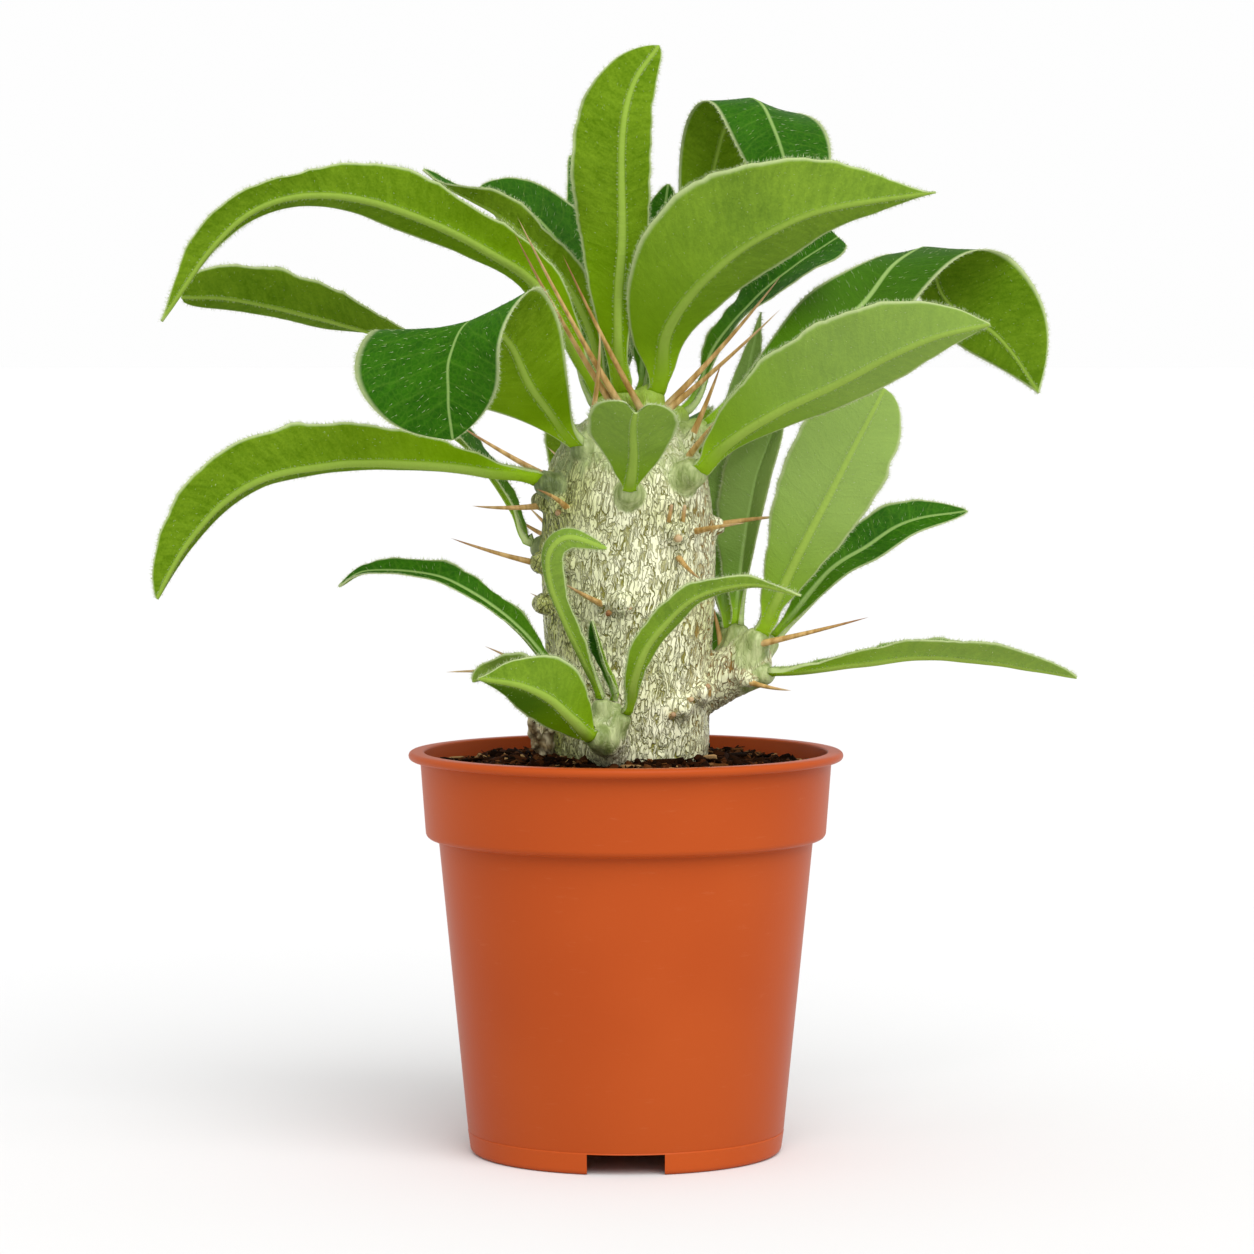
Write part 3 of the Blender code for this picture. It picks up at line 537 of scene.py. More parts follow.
loose = Finish("peat_loose", Roughness=0.85, Specular_IOR_Level=0.05)
PEAT_TONES = [
    (0.0, colour("0F0501")), (0.4, colour("241003")), (0.75, colour("40200B")), (0.93, colour("6B4220")),
    (1.0, colour("AD8A5C"))]
mixed = loose.add("ShaderNodeValToRGB", {"stops": PEAT_TONES}, {"Fac": loose.reading("tone")})
loose.feed(Base_Color=mixed)
loose.shape(loose.noise(1400, 3, 0.6), 0.0003)

CRUMB_COUNT = 1500
CHIP_COUNT = 420
FIBRE_COUNT = 520
rng = random.Random(11)
crumb_places, chip_places, fibre_places = [], [], []
for _ in range(CRUMB_COUNT):
    size = rng.uniform(0.5, 1.5) * rng.uniform(0.6, 1.2)
    stretch = (size * rng.uniform(0.7, 1.5), size, size * rng.uniform(0.6, 1.0))
    crumb_places.append(pose(on_the_peat(rng), random_direction(rng), stretch, rng.uniform(0, 6)))
for _ in range(CHIP_COUNT):
    size = rng.uniform(0.5, 1.0)
    stretch = (0.35 * size, 1.1 * size, rng.uniform(2.0, 4.6) * size)
    spot = on_the_peat(rng, STEM_CLEAR + 3) + UP * 0.3
    chip_places.append(pose(spot, random_direction(rng, 0.3), stretch, rng.uniform(0, 6)))
for _ in range(FIBRE_COUNT):
    length = rng.uniform(1.5, 4.5)
    spot = on_the_peat(rng, STEM_CLEAR + 2) + UP * 0.4
    thin = rng.uniform(0.12, 0.28)
    fibre_places.append(pose(spot, random_direction(rng, 0.35), (thin, thin, length), rng.uniform(0, 6)))
for name, template, places in (
        ("peat_crumbs", crumb_template(), crumb_places),
        ("bark_chips", chip_template(), chip_places),
        ("peat_fibres", fibre_template(), fibre_places)):
    strewn_piece = settle(strewn(template, places, name, loose.material, len(places)), "soil")
    print(name, triangles(strewn_piece))

# %% [markdown]
# ## Where every leaf goes
# The solids of the leaves follow one rule: a midrib that runs through a few points, a width to either side of
# it, a turn of the blade about the midrib, a fold and a wave. The same table and the same rule are used here,
# so the finer blades lie exactly where the solids are. Widths are half widths in millimetres at the belly, the
# widest place. Rolls and folds are degrees. A form states the outline where no simple rule fits.

# %% Leaves: the table
PLAIN = {"roll": (0, 0), "belly": 0.6, "wave": 0.0}  # holds where a leaf's entry says nothing else


def leaves_on(shoot):
    """Notes down a leaf of one shoot: the points of its midrib, and what sets it apart."""
    return lambda *path, **shape: {**PLAIN, "shoot": shoot, "path": path, **shape}


crown, branch, offset = map(leaves_on, ("crown", "branch", "offset"))
LEAVES = {
    "leaf_top": crown(
        (-1, -9, 210), (-2, -18, 234), (-1, -22, 252), (-1, -21, 278), (2, -16, 293), (9, -9, 304),
        halves=(14, 8), roll=(0, 10), fold=14, belly=0.64, wave=1.6),
    "leaf_upper_right": crown(
        (8, -9, 210), (11, -20, 226), (19, -32, 238), (29, -40, 247), (41, -45, 254), (55, -47, 259),
        (82, -46, 263),
        halves=(21.5, 14), roll=(-25, -45), fold=20, belly=0.475, shoulder=1.35, wave=0.5),
    "leaf_arch_behind": crown(
        (7, 2, 210), (15, 14, 235), (21, 20, 254), (24, 20, 272), (28, 14, 285), (32, 6, 290),
        (36.5, -3, 289), (39.5, -12, 283), (42.5, -19, 274), (45, -24, 263), (47, -27, 251),
        halves=(13, 16.5), roll=(-30, -50, -70, -88, -88, -50, -40), fold=-8,
        form=((0, 0.21, 0.45, 0.66, 0.83, 0.95, 1, 0.97, 0.85, 0.59, 0),
              (0, 0.21, 0.45, 0.66, 0.8, 0.8, 0.74, 0.78, 0.85, 0.66, 0))),
    "leaf_behind_right": crown(
        (16, 9, 204), (25, 22, 222), (37, 30, 236), (48, 34, 245), (60, 36, 253),
        halves=(13.5, 9), roll=(0, 4, 20), fold=15, belly=0.84, shoulder=1.6, wave=0.6),
    "leaf_right_arch": crown(
        (22, 1, 200), (41, 14, 215), (56, 28, 226), (67, 43, 234), (75, 52, 244), (80, 59, 248), (86, 67, 251),
        (89, 74, 249), (91, 77, 239), (97, 76, 232), (106, 73, 227), (113, 70, 219), (119, 64, 209),
        halves=(26, 14), roll=(20, 50, 62, 44, 18, -10, 0), fold=5,
        form=((0, 0.25, 0.45, 0.5, 0.5, 0.52, 0.62, 0.8, 0.87, 0.68, 0),
              (0, 0.25, 0.55, 0.88, 1.03, 0.6, 0.38, 0.55, 0.7, 0.45, 0))),
    "leaf_right_front": crown(
        (20, -20, 189), (27, -28, 196), (39, -38, 204), (57, -50, 213), (70, -58, 220), (82, -63, 225),
        (95, -66, 228),
        halves=(16.5, 10), roll=(-35, -50), fold=22, belly=0.55),
    "leaf_small_front": crown(
        (1, -27, 184), (2, -38, 192), (2, -48, 201), (3, -54, 207),
        halves=(12, 12), fold=16, belly=0.7),
    "leaf_left_fold": crown(
        (-13, -16, 196), (-21, -30, 206), (-26, -41, 213), (-30, -52, 222), (-34, -59, 227), (-37, -65, 229),
        (-40, -70, 229), (-43, -73, 226), (-45, -74, 221), (-46, -75, 217), (-46, -74, 211), (-46, -73, 206),
        (-45, -71, 198),
        halves=(31, 17), roll=(10, 18, 26, 40, 50, 34, 4, -30, -40), fold=3, belly=0.66),
    "leaf_left_arch": crown(
        (-7, -6, 209), (-23, -16, 237), (-37, -24, 247.5), (-55, -30, 256.5), (-74, -34, 262), (-93, -37, 261),
        (-108, -38, 251), (-124, -36, 229),
        halves=(8.5, 9.5), roll=(35, 40), fold=28, wave=-1.3,
        form=((0, 0.3, 0.6, 0.84, 0.98, 1.1, 1, 0.75, 0.3, 0.1, 0),
              (0, 0.3, 0.6, 0.84, 1, 1.13, 0.88, 0.66, 0.7, 0.42, 0))),
    "leaf_left_back": crown(
        (-17, 4, 199), (-29, 14, 207), (-44, 22, 215), (-64, 28, 224), (-89, 31, 231), (-110, 31, 235.6),
        (-125, 30, 236.2),
        halves=(8, 12.5), roll=(0, -10, 35, 50), fold=16, belly=0.74, shoulder=1.2, wave=0.4),
    "leaf_left_middle": crown(
        (-24, -14, 186), (-37, -20, 188), (-50, -27, 190), (-72, -34, 191), (-89, -38, 189), (-99, -39, 186),
        (-108, -40, 180), (-116, -41, 171), (-121, -42, 163), (-125, -42, 155),
        halves=(7, 12), roll=(45, 55), fold=32),
    "leaf_left_inner": crown(
        (-26, 2, 168), (-31, 8, 177), (-38, 12, 187), (-46, 14, 196), (-57, 15, 202), (-67, 14, 205),
        halves=(9, 9), roll=(0, -15), fold=14),
    "leaf_back_left": crown(
        (-8, 9, 206), (-11, 20, 226), (-15, 27, 244), (-23, 31, 256), (-32, 32, 263), (-41, 30, 267),
        halves=(12.5, 12.5), roll=(0, -10), fold=14),
    "leaf_inner_left": crown(
        (-6, 1, 210), (-9, 1, 225), (-16, 3, 239), (-25, 5, 250), (-36, 7, 259), (-49, 8, 266), (-56, 7, 271),
        halves=(7, 7), roll=(50, 50, 40, -20), fold=20, wave=0.8),
    "leaf_back_upright": crown(
        (-2, 13, 206), (-4, 34, 229), (-8, 48, 249), (-12, 56, 267), (-16, 58, 277),
        halves=(9, 9), fold=14),
    "leaf_back_middle": crown(
        (6, 12, 206), (8, 26, 229), (10, 32, 252), (12, 34, 268),
        halves=(9, 9), fold=14),
    "leaf_back_low": crown(
        (12, 21, 190), (15, 42, 200), (15, 60, 197), (12, 76, 178), (10, 78, 158),
        halves=(12, 12), fold=14),
    "leaf_back_left_low": crown(
        (-12, 20, 190), (-15, 42, 199), (-15, 60, 196), (-14, 73, 184), (-13, 78, 164),
        halves=(10, 10), fold=14),
    "leaf_young_left": crown(
        (-1, 0, 211), (-2, -1, 222), (-3, -1, 234), (-3, 0, 246),
        halves=(3.5, 3.5), fold=30),
    "leaf_young_right": crown(
        (4, 6, 210), (5, 8, 222), (5, 11, 236), (5, 13, 246),
        halves=(4, 4), fold=30),
    "branch_leaf_upright": branch(
        (37, -9, 144), (41, -13, 153), (47, -18, 166), (54, -22, 180), (61, -24, 194), (70, -22, 211),
        halves=(15.5, 11.5), roll=(-50, -60), fold=8, belly=0.7, shoulder=1.2),
    "branch_leaf_inner": branch(
        (31, -2, 146), (32, 6, 159), (34, 12, 173), (37, 16, 187), (41, 18, 198), (44, 18, 206),
        halves=(10, 10), fold=24, belly=0.66),
    "branch_leaf_back": branch(
        (28, 6, 144), (27, 16, 161), (28, 22, 179), (31, 27, 196), (34, 30, 214), (38, 30, 232),
        halves=(6.5, 6.5), fold=14, belly=0.5),
    "branch_leaf_right": branch(
        (41, 2, 142), (56, 14, 159), (67, 20, 166), (79, 25, 173), (96, 28, 176),
        halves=(7.5, 7.5), roll=(30, 40), fold=14),
    "branch_leaf_low": branch(
        (40, -10, 133), (49, -14, 134), (63, -17, 136), (81, -19, 138), (102, -18, 136), (123, -14, 132),
        halves=(7.5, 7.5), fold=40),
    "branch_leaf_hidden": branch(
        (25, 8, 134), (22, 25, 143), (14, 42, 146), (7, 56, 138),
        halves=(8, 8), fold=16),
    "offset_leaf_long": offset(
        (-11, -31, 124), (-20, -35, 136), (-28, -37, 146), (-39, -39, 155), (-52, -38, 161), (-69, -36, 162),
        (-77, -34, 158),
        halves=(5, 5), roll=(-20, -20), fold=20),
    "offset_leaf_curl": offset(
        (-7, -34, 128), (-11, -40, 138), (-16, -45, 149), (-20, -49, 160), (-20, -52, 168), (-15, -54, 172),
        (-5, -54, 169),
        halves=(4, 4), fold=20),
    "offset_leaf_front": offset(
        (-9, -39, 118), (-14, -47, 123), (-20, -53, 129), (-28, -57, 133), (-39, -59, 135),
        halves=(9, 10.5), roll=(50, 40), fold=24, belly=0.5),
    "offset_leaf_left": offset(
        (-11, -36, 121), (-15, -41, 127), (-22, -43, 132), (-29, -43, 135.5), (-36, -43, 135.3),
        (-41, -42, 133),
        halves=(6.5, 7), roll=(10, 20), fold=12),
    "offset_leaf_right": offset(
        (0, -35, 124), (2, -44, 133), (5, -51, 142), (11, -56, 150), (19, -60, 157), (33, -62, 160),
        (46, -62, 157),
        halves=(4.5, 4.5), roll=(-30, -30), fold=12, belly=0.5),
    "offset_leaf_inner": offset(
        (-3, -31, 127), (-6, -34, 138), (-9, -37, 149),
        halves=(3, 3), fold=20),
}

# %% [markdown]
# ## The rule of a leaf
# A smooth curve runs through the points and leaves its cushion straight. Along it the blade keeps a frame of
# three directions: along, across and above. The frame is carried from row to row, so that it never flips.

# %% Leaves: midrib, width and frame
TRUNK_AXIS = Vector((0.5, 0, 0))
CROWN_CORE_DROP = 11.0
BRANCH_CORE = Vector((30, -3, 131))
OFFSET_CORE = Vector((-5, -32, 117))
STALK_BASE = 0.9
STALK_SHARE = 0.08
STALK_LIMIT = 16.0
STALK_FORM = 1.2
STALK_FADE = 8
COLLAR = 1.6
EASE = 1.2
TIP_HALF_WIDTH = 0.2
SHOULDER = 1.2
WAVE_TURNS = 2.75
WAVE_LAG = 1.2
ARCH = 0.25
CURVE_STEPS = 16
TIP_REACH = 1.1


def core_of(leaf):
    if leaf["shoot"] == "branch":
        return BRANCH_CORE
    if leaf["shoot"] == "offset":
        return OFFSET_CORE
    return TRUNK_AXIS + UP * (leaf["path"][0][2] - CROWN_CORE_DROP)


def seat_of(leaf):
    base = Vector(leaf["path"][0])
    return base, (base - core_of(leaf)).normalized()


def stalk_radius(leaf):
    return STALK_BASE + STALK_SHARE * min(STALK_LIMIT, max(leaf["halves"]))


def hermite(start, end, start_slope, end_slope, t):
    """The smooth curve that leaves its start and reaches its end with the given slopes."""
    return (
        start * (2 * t**3 - 3 * t**2 + 1) + start_slope * (t**3 - 2 * t**2 + t)
        + end * (3 * t**2 - 2 * t**3) + end_slope * (t**3 - t**2))


def curve_through(leaf):
    """Closely spaced points of the smooth curve through a leaf's path."""
    knots = [Vector(p) for p in leaf["path"]]
    slopes = [seat_of(leaf)[1] * (knots[1] - knots[0]).length]
    slopes += [(after - before) / 2 for before, after in zip(knots, knots[2:])]
    slopes.append((knots[-1] - knots[-2]) * TIP_REACH)
    fine = []
    for stretch in zip(knots, knots[1:], slopes, slopes[1:]):
        fine += [hermite(*stretch, step / CURVE_STEPS) for step in range(CURVE_STEPS)]
    return [*fine, knots[-1]]


def midrib(leaf, count):
    """Points, tangents and shares along the midrib, and its length."""
    base, out = seat_of(leaf)
    fine = curve_through(leaf)
    reach = [0.0]
    for a, b in zip(fine, fine[1:]):
        reach.append(reach[-1] + (b - a).length)
    collar = COLLAR / reach[-1]
    points, shares = [base, base + out * COLLAR], [0.0, collar]
    for row in range(1, count):
        share = collar + (1 - collar) * (1 - (1 - row / (count - 1)) ** EASE)
        goal = share * reach[-1]
        index = max(i for i in range(len(fine) - 1) if reach[i] <= goal + 1e-9)
        part = (goal - reach[index]) / (reach[index + 1] - reach[index])
        points.append(fine[index].lerp(fine[index + 1], part))
        shares.append(share)
    tangents = [out, out]
    tangents += [(after - before).normalized() for before, after in zip(points[1:], points[3:])]
    tangents.append((points[-1] - points[-2]).normalized())
    return points, tangents, shares, reach[-1]


def step_at(values, share):
    """Which of the evenly spaced values comes just before a share, and how far on it is to the next."""
    place = share * (len(values) - 1)
    index = min(int(place), len(values) - 2)
    return index, place - index


def along(values, share):
    """Straight lines through evenly spaced values."""
    index, part = step_at(values, share)
    return values[index] + (values[index + 1] - values[index]) * part


def drawn_form(values, share):
    """A smooth curve through evenly spaced values."""
    index, part = step_at(values, share)
    before, low, high, after = (values[0], *values, values[-1])[index:index + 4]
    return hermite(low, high, (high - before) / 2, (after - low) / 2, part)


def ruled_form(leaf, share):
    """Widest at the belly, narrow at the base, pointed at the tip."""
    belly = leaf["belly"]
    shoulder = leaf.get("shoulder", SHOULDER)
    fall = shoulder * (1 - belly) / belly
    return (share / belly) ** shoulder * ((1 - share) / (1 - belly)) ** fall


def half_width(leaf, side, share):
    which = 1 if side > 0 else 0
    form = max(0, drawn_form(leaf["form"][which], share)) if "form" in leaf else ruled_form(leaf, share)
    half = leaf["halves"][which]
    return math.hypot(half * form, stalk_radius(leaf) * (1 - share) ** 2) + TIP_HALF_WIDTH * share


def frames(leaf, tangents, shares):
    """(across, above) at each row."""
    out = seat_of(leaf)[1]
    across = UP.cross(Vector((out.x, out.y, 0)).normalized())
    made = []
    for tangent, share in zip(tangents, shares):
        across = (across - tangent * across.dot(tangent)).normalized()
        turned_across = Matrix.Rotation(math.radians(along(leaf["roll"], share)), 3, tangent) @ across
        made.append((turned_across, tangent.cross(turned_across)))
    return made


longest = max(midrib(leaf, 4)[3] for leaf in LEAVES.values())
print("leaves:", len(LEAVES), "longest midrib:", round(longest), "mm")

# %% [markdown]
# ## The stem
# The stem is one living body: a swollen trunk, a short side branch, a basal shoot, a cushion under every leaf
# and knobs where old spines stood. Pieces pushed into each other would show hard seams. A voxel remesh turns
# the overlapping bodies into one skin, and a few rounds of smoothing melt the seams into soft fillets.

# %% Stem: its rough bodies
TRUNK_BOTTOM = 99.0
TRUNK_PROFILE = [
    (0, 206.5), (6, 205.5), (12, 202), (17.5, 196.5), (21.3, 190), (23.2, 181), (23.8, 168),
    (23.6, 152), (22.8, 138), (21.6, 124), (20.4, 112), (19, 103), (18.4, TRUNK_BOTTOM), (0, TRUNK_BOTTOM),
]
TRUNK_SWELLINGS = (0.05, 0.055, 0.025, 0.16)
OFFSET_FOOT = Vector((-3, -10, 102))
OFFSET_TOP = Vector((-5, -33, 121))
OFFSET_RADII = (6.6, 5.0)
TRUNK_SPREAD = (0.1, 132.0, 112.0)  # the right side spreads by this share between these heights
BRANCH_FOOT = Vector((18, -1, 125))
BRANCH_TOP = Vector((33, -4, 136))
BRANCH_RADII = (6.0, 7.2)
CUSHION_LENGTH = 13.0
CUSHION_MARGIN = 0.7
CUSHION_FLARE = 2.3
CUSHION_SWELL = 1.2  # a living cushion is a little fuller than its plain cone
CUSHION_HEAD = 1.22  # and its end is rounded by a ball, so much larger than the cone's end
CUSHION_HEAD_SINK = 2.6
ROUND = Vector((1, 1, 1))


def rod(start, end, start_radius, end_radius, sides=24):
    """A straight cone or cylinder between two points."""
    reach = end - start
    bm = bmesh.new()
    bmesh.ops.create_cone(
        bm, cap_ends=True, segments=sides, radius1=start_radius, radius2=end_radius, depth=reach.length)
    turn = reach.to_track_quat("Z", "Y").to_matrix().to_4x4()
    bmesh.ops.transform(bm, matrix=Matrix.Translation((start + end) / 2) @ turn, verts=bm.verts)
    return bm


def ball(centre, size):
    bm = bmesh.new()
    bmesh.ops.create_uvsphere(bm, u_segments=24, v_segments=16, radius=1)
    bmesh.ops.scale(bm, vec=size, verts=bm.verts)
    bmesh.ops.translate(bm, vec=centre, verts=bm.verts)
    return bm


def trunk():
    bm = turned(TRUNK_PROFILE, 60)
    broad_size, broad_pitch, fine_size, fine_pitch = TRUNK_SWELLINGS
    spread, top, bottom = TRUNK_SPREAD
    for vert in bm.verts:
        swell = 1 + broad_size * noise.noise(vert.co * broad_pitch)
        swell += fine_size * noise.noise(vert.co * fine_pitch)
        low = min(1, max(0, (top - vert.co.z) / (top - bottom)))
        vert.co.x *= swell * (1 + spread * low * (vert.co.x > 0))
        vert.co.y *= swell
    bmesh.ops.translate(bm, vec=TRUNK_AXIS, verts=bm.verts)
    return bm


def cushion(leaf):
    """(inner end, outer end, inner radius, outer radius) of the swollen seat of a leaf."""
    base, out = seat_of(leaf)
    length = min(CUSHION_LENGTH, (base - core_of(leaf)).length)
    tip_radius = stalk_radius(leaf) + CUSHION_MARGIN
    return base - out * length, base - out * 0.4, tip_radius * CUSHION_FLARE, tip_radius * CUSHION_SWELL


def merged(parts):
    """One bmesh from many."""
    whole = bmesh.new()
    for part in parts:
        mesh = bpy.data.meshes.new("part")
        part.to_mesh(mesh)
        part.free()
        whole.from_mesh(mesh)
        bpy.data.meshes.remove(mesh)
    return whole


rough = [
    trunk(),
    rod(BRANCH_FOOT, BRANCH_TOP, *BRANCH_RADII),
    ball(BRANCH_TOP, ROUND * BRANCH_RADII[1]),
    rod(OFFSET_FOOT, OFFSET_TOP, *OFFSET_RADII),
]
for leaf in LEAVES.values():
    inner, outer, inner_radius, outer_radius = cushion(leaf)
    rough.append(rod(inner, outer, inner_radius, outer_radius))
    centre = outer + (inner - outer).normalized() * CUSHION_HEAD_SINK
    rough.append(ball(centre, ROUND * outer_radius * CUSHION_HEAD))
print("rough bodies:", len(rough))

# %% [markdown]
# ## Knobs and scars
# Each fallen leaf leaves a knob with its pair of spines, and old pairs break to short stubs. The camera side
# carries the knobs of the photograph. Behind, where it shows nothing, they follow the spiral of the solids.

# %% Stem: knobs, spines and stubs
SCAR_COUNT = 24
SCAR_LOW = 126.0
SCAR_HIGH = 196.0
SCAR_TURN = 137.5
SCAR_START = 20.0
SCAR_LENGTH = 5.0
SCAR_ROOT_RADIUS = 5.0
SCAR_TIP_RADIUS = 2.6
SCAR_STANDS_OUT = 0.35
PAIR_SPREAD = 24.0
PAIR_RISE = 28.0
PAIR_LENGTHS = (15.0, 19.0, 22.0)
FRONT_CLEAR = 105.0  # degrees from the front to either side where the rule sets no knobs
KNOB_FLATTEN = 0.85
SPINE_FOOT = (3.0, 1.6, 2.3, 1.25)  # how deep it starts, how far it stands out, and both radii

# Spines of the camera side: root and tip
SPINES = [
    ((-2, -13, 204), (-30, -34, 253)), ((0, -14, 204), (-29, -38, 257)), ((4.6, -11.4, 204.5), (-17, -32, 247)),
    ((-10, -14, 200), (-7, -26, 227)), ((9.8, -8, 205), (43, -8, 242.5)), ((9.5, -9, 203.5), (42, -16, 232.5)),
    ((18, -8, 198), (26, -14, 218)), ((17, -15, 192), (30, -30, 208)), ((-22, -6, 187), (-46, -6, 201)),
    ((-23, -6, 179), (-42, -14, 179)), ((-24, -4, 163), (-48, -8, 170)), ((24, -4, 173), (44, -10, 176)),
    ((19, -16, 172), (32, -32, 175)), ((-16.5, -8.5, 197), (-38, -14, 215.5)), ((36, -10, 141), (66, -20, 149)),
    ((34, -12, 131), (45, -20, 129)), ((37, -3, 142), (43, -3, 167)), ((26, 2, 138), (23, 3, 153)),
    ((-22, -10, 132), (-49, -20, 134)), ((-7, -23, 153), (-17, -34, 159)),
    ((14, -19, 166), (20, -33, 160)), ((-16, -17, 178), (-24, -31, 184)),
]
# Knobs of the camera side: place on the bark and how far each stands out
KNOBS = [
    ((13.5, -19.5, 172), 3.8), ((-18, -14.5, 179), 3.4), ((-1, -23.2, 153), 4.0), ((-15.5, -17, 163), 3.2),
    ((20.5, -11.5, 128), 4.2), ((15, -16.5, 124), 3.6), ((24, -4, 173), 3.4), ((-23, -5, 163), 3.6),
    ((-22.5, -7, 152), 3.4), ((-23, -4, 180), 3.2), ((-22, -9, 133), 3.2),
]
# Stubs of broken spines: root, tip, radius
STUBS = [
    ((11.5, -20.5, 174.5), (12.4, -22.6, 179.6), 0.55), ((15.4, -18.5, 174.5), (16, -20.6, 179.4), 0.55),
    ((13.6, -20, 170.5), (14.4, -24.4, 170.5), 1.15), ((0.4, -23, 152), (1, -25.8, 152), 0.95),
    ((-4, -23, 151), (-5, -25.2, 150), 0.8), ((-18, -16, 178), (-18.6, -18.6, 177), 0.8),
    ((21, -12, 128), (22.6, -14.4, 130), 0.9), ((17, -16.5, 126), (18, -18.6, 126.6), 0.8),
    ((12.5, -18.8, 122), (13, -20.9, 122.6), 0.8),
]


def trunk_radius(z):
    for (r0, z0), (r1, z1) in zip(TRUNK_PROFILE, TRUNK_PROFILE[1:]):
        if z1 <= z <= z0:
            return r0 + (r1 - r0) * (z0 - z) / (z0 - z1)
    return 0.0


def scars_behind():
    for index in range(SCAR_COUNT):
        angle = math.radians(SCAR_START + index * SCAR_TURN)
        z = SCAR_LOW + (SCAR_HIGH - SCAR_LOW) * index / (SCAR_COUNT - 1)
        out = Vector((math.cos(angle), math.sin(angle), 0))
        if -out.y <= math.cos(math.radians(FRONT_CLEAR)):
            yield index, TRUNK_AXIS + out * trunk_radius(z) + UP * z, out


spines = [(Vector(root), Vector(tip)) for root, tip in SPINES]
for index, point, out in scars_behind():
    outer = point + out * SCAR_LENGTH * SCAR_STANDS_OUT
    rough.append(rod(point - out * SCAR_LENGTH, outer, SCAR_ROOT_RADIUS, SCAR_TIP_RADIUS))
    for side in (-1, 1):
        length = PAIR_LENGTHS[(index + side) % len(PAIR_LENGTHS)]
        turned_out = Matrix.Rotation(math.radians(side * PAIR_SPREAD), 3, "Z") @ out
        heading = (turned_out + UP * math.tan(math.radians(PAIR_RISE))).normalized()
        spines.append((point, point + heading * length))
for place, size in KNOBS:
    rough.append(ball(Vector(place), Vector((size, size, size * KNOB_FLATTEN))))
foot_depth, foot_rise, *foot_radii = SPINE_FOOT
for root, tip in SPINES:
    root, tip = Vector(root), Vector(tip)
    heading = (tip - root).normalized()
    rough.append(rod(root - heading * foot_depth, root + heading * foot_rise, *foot_radii, 12))
print("spines:", len(spines), "stubs:", len(STUBS))

# %% [markdown]
# ## Bark that looks like crumpled foil
# The bark is what makes this plant: a silvery skin in upright worm-like ridges, cream on their backs and olive
# in the creases, with a waxy shine. A picture could only fake it, so the ridges are real: the skin is pushed
# out along ridged noise that is stretched upwards and bent by a second noise. The height is also stored on the
# vertices, and the material weighs backs and creases by it. Cushions and the crown stay smooth and waxy. In
# colour the left side, its cushions too, is painted a darker olive as shade, the creases at the right edge are
# rusty, and moss and rust lie in patches.

# %% Stem: one skin with ridges
VOXEL = 0.62
RIDGE_PITCH = 0.4  # ridges per millimetre round the stem
RIDGE_STRETCH = 0.36
RIDGE_HEIGHT = 0.55
RIDGE_LEVEL = 0.45  # ridges above this share stand out from the smooth skin, lower ones sink in
RIDGE_BEND = 0.55
SMOOTHING = 7
WAX_REACH = 1.6
CROWN_WAX_FROM = 198.0
CROWN_WAX_SPAN = 7.0


def remeshed(bm):
    piece = piece_from(bm, "stem_skin")
    remesh = piece.modifiers.new("skin", "REMESH")
    remesh.mode = "VOXEL"
    remesh.voxel_size = VOXEL * MM
    baked(piece)
    made = bmesh.new()
    made.from_mesh(piece.data)
    bpy.data.objects.remove(piece)
    bmesh.ops.scale(made, vec=(1 / MM, 1 / MM, 1 / MM), verts=made.verts)
    for _ in range(SMOOTHING):
        bmesh.ops.smooth_vert(
            made, verts=made.verts, factor=0.5, use_axis_x=True, use_axis_y=True, use_axis_z=True)
    return made


def distance_to_cushions(points):
    """How far each point lies outside the nearest cushion."""
    nearest = np.full(len(points), 99.0)
    for leaf in LEAVES.values():
        inner, outer, inner_radius, outer_radius = cushion(leaf)
        inner = inner.lerp(outer, 0.35)
        start, reach = np.array(inner), np.array(outer - inner)
        share = np.clip((points - start) @ reach / (reach @ reach), 0, 1)
        gap = np.linalg.norm(points - start - share[:, None] * reach, axis=1)
        radius = inner_radius * 0.8 + (outer_radius - inner_radius * 0.8) * share
        nearest = np.minimum(nearest, gap - radius)
    return nearest


def ridge(point):
    """Height of the upright ridges at a point, from 0 to 1."""
    here = Vector((point.x * RIDGE_PITCH, point.y * RIDGE_PITCH, point.z * RIDGE_PITCH * RIDGE_STRETCH))
    bent = here + noise.noise_vector(here * 0.7) * RIDGE_BEND
    first = max(0.0, 1 - abs(noise.noise(bent)) * 3.2)
    second = max(0.0, 1 - abs(noise.noise(bent * 1.25 + Vector((17, 5, 9)))) * 3.6)
    return max(first, second * 0.85)


bm = remeshed(merged(rough))
bm.normal_update()
places = np.array([vert.co[:] for vert in bm.verts])
outside = distance_to_cushions(places)
wax = np.clip(1 - outside / WAX_REACH, 0, 1)
wax = np.maximum(wax, np.clip((places[:, 2] - CROWN_WAX_FROM) / CROWN_WAX_SPAN, 0, 1) * 0.9)
relief = np.zeros(len(places))
for index, vert in enumerate(bm.verts):
    relief[index] = ridge(vert.co)
    strength = RIDGE_HEIGHT * (1 - 0.93 * wax[index])
    vert.co += vert.normal * (relief[index] - RIDGE_LEVEL) * strength
stem_mesh = bpy.data.meshes.new("stem_bark")
bmesh.ops.scale(bm, vec=(MM, MM, MM), verts=bm.verts)
bm.to_mesh(stem_mesh)
bm.free()
store(stem_mesh, "relief", relief)
store(stem_mesh, "wax", wax)
print("stem skin faces:", len(stem_mesh.polygons))

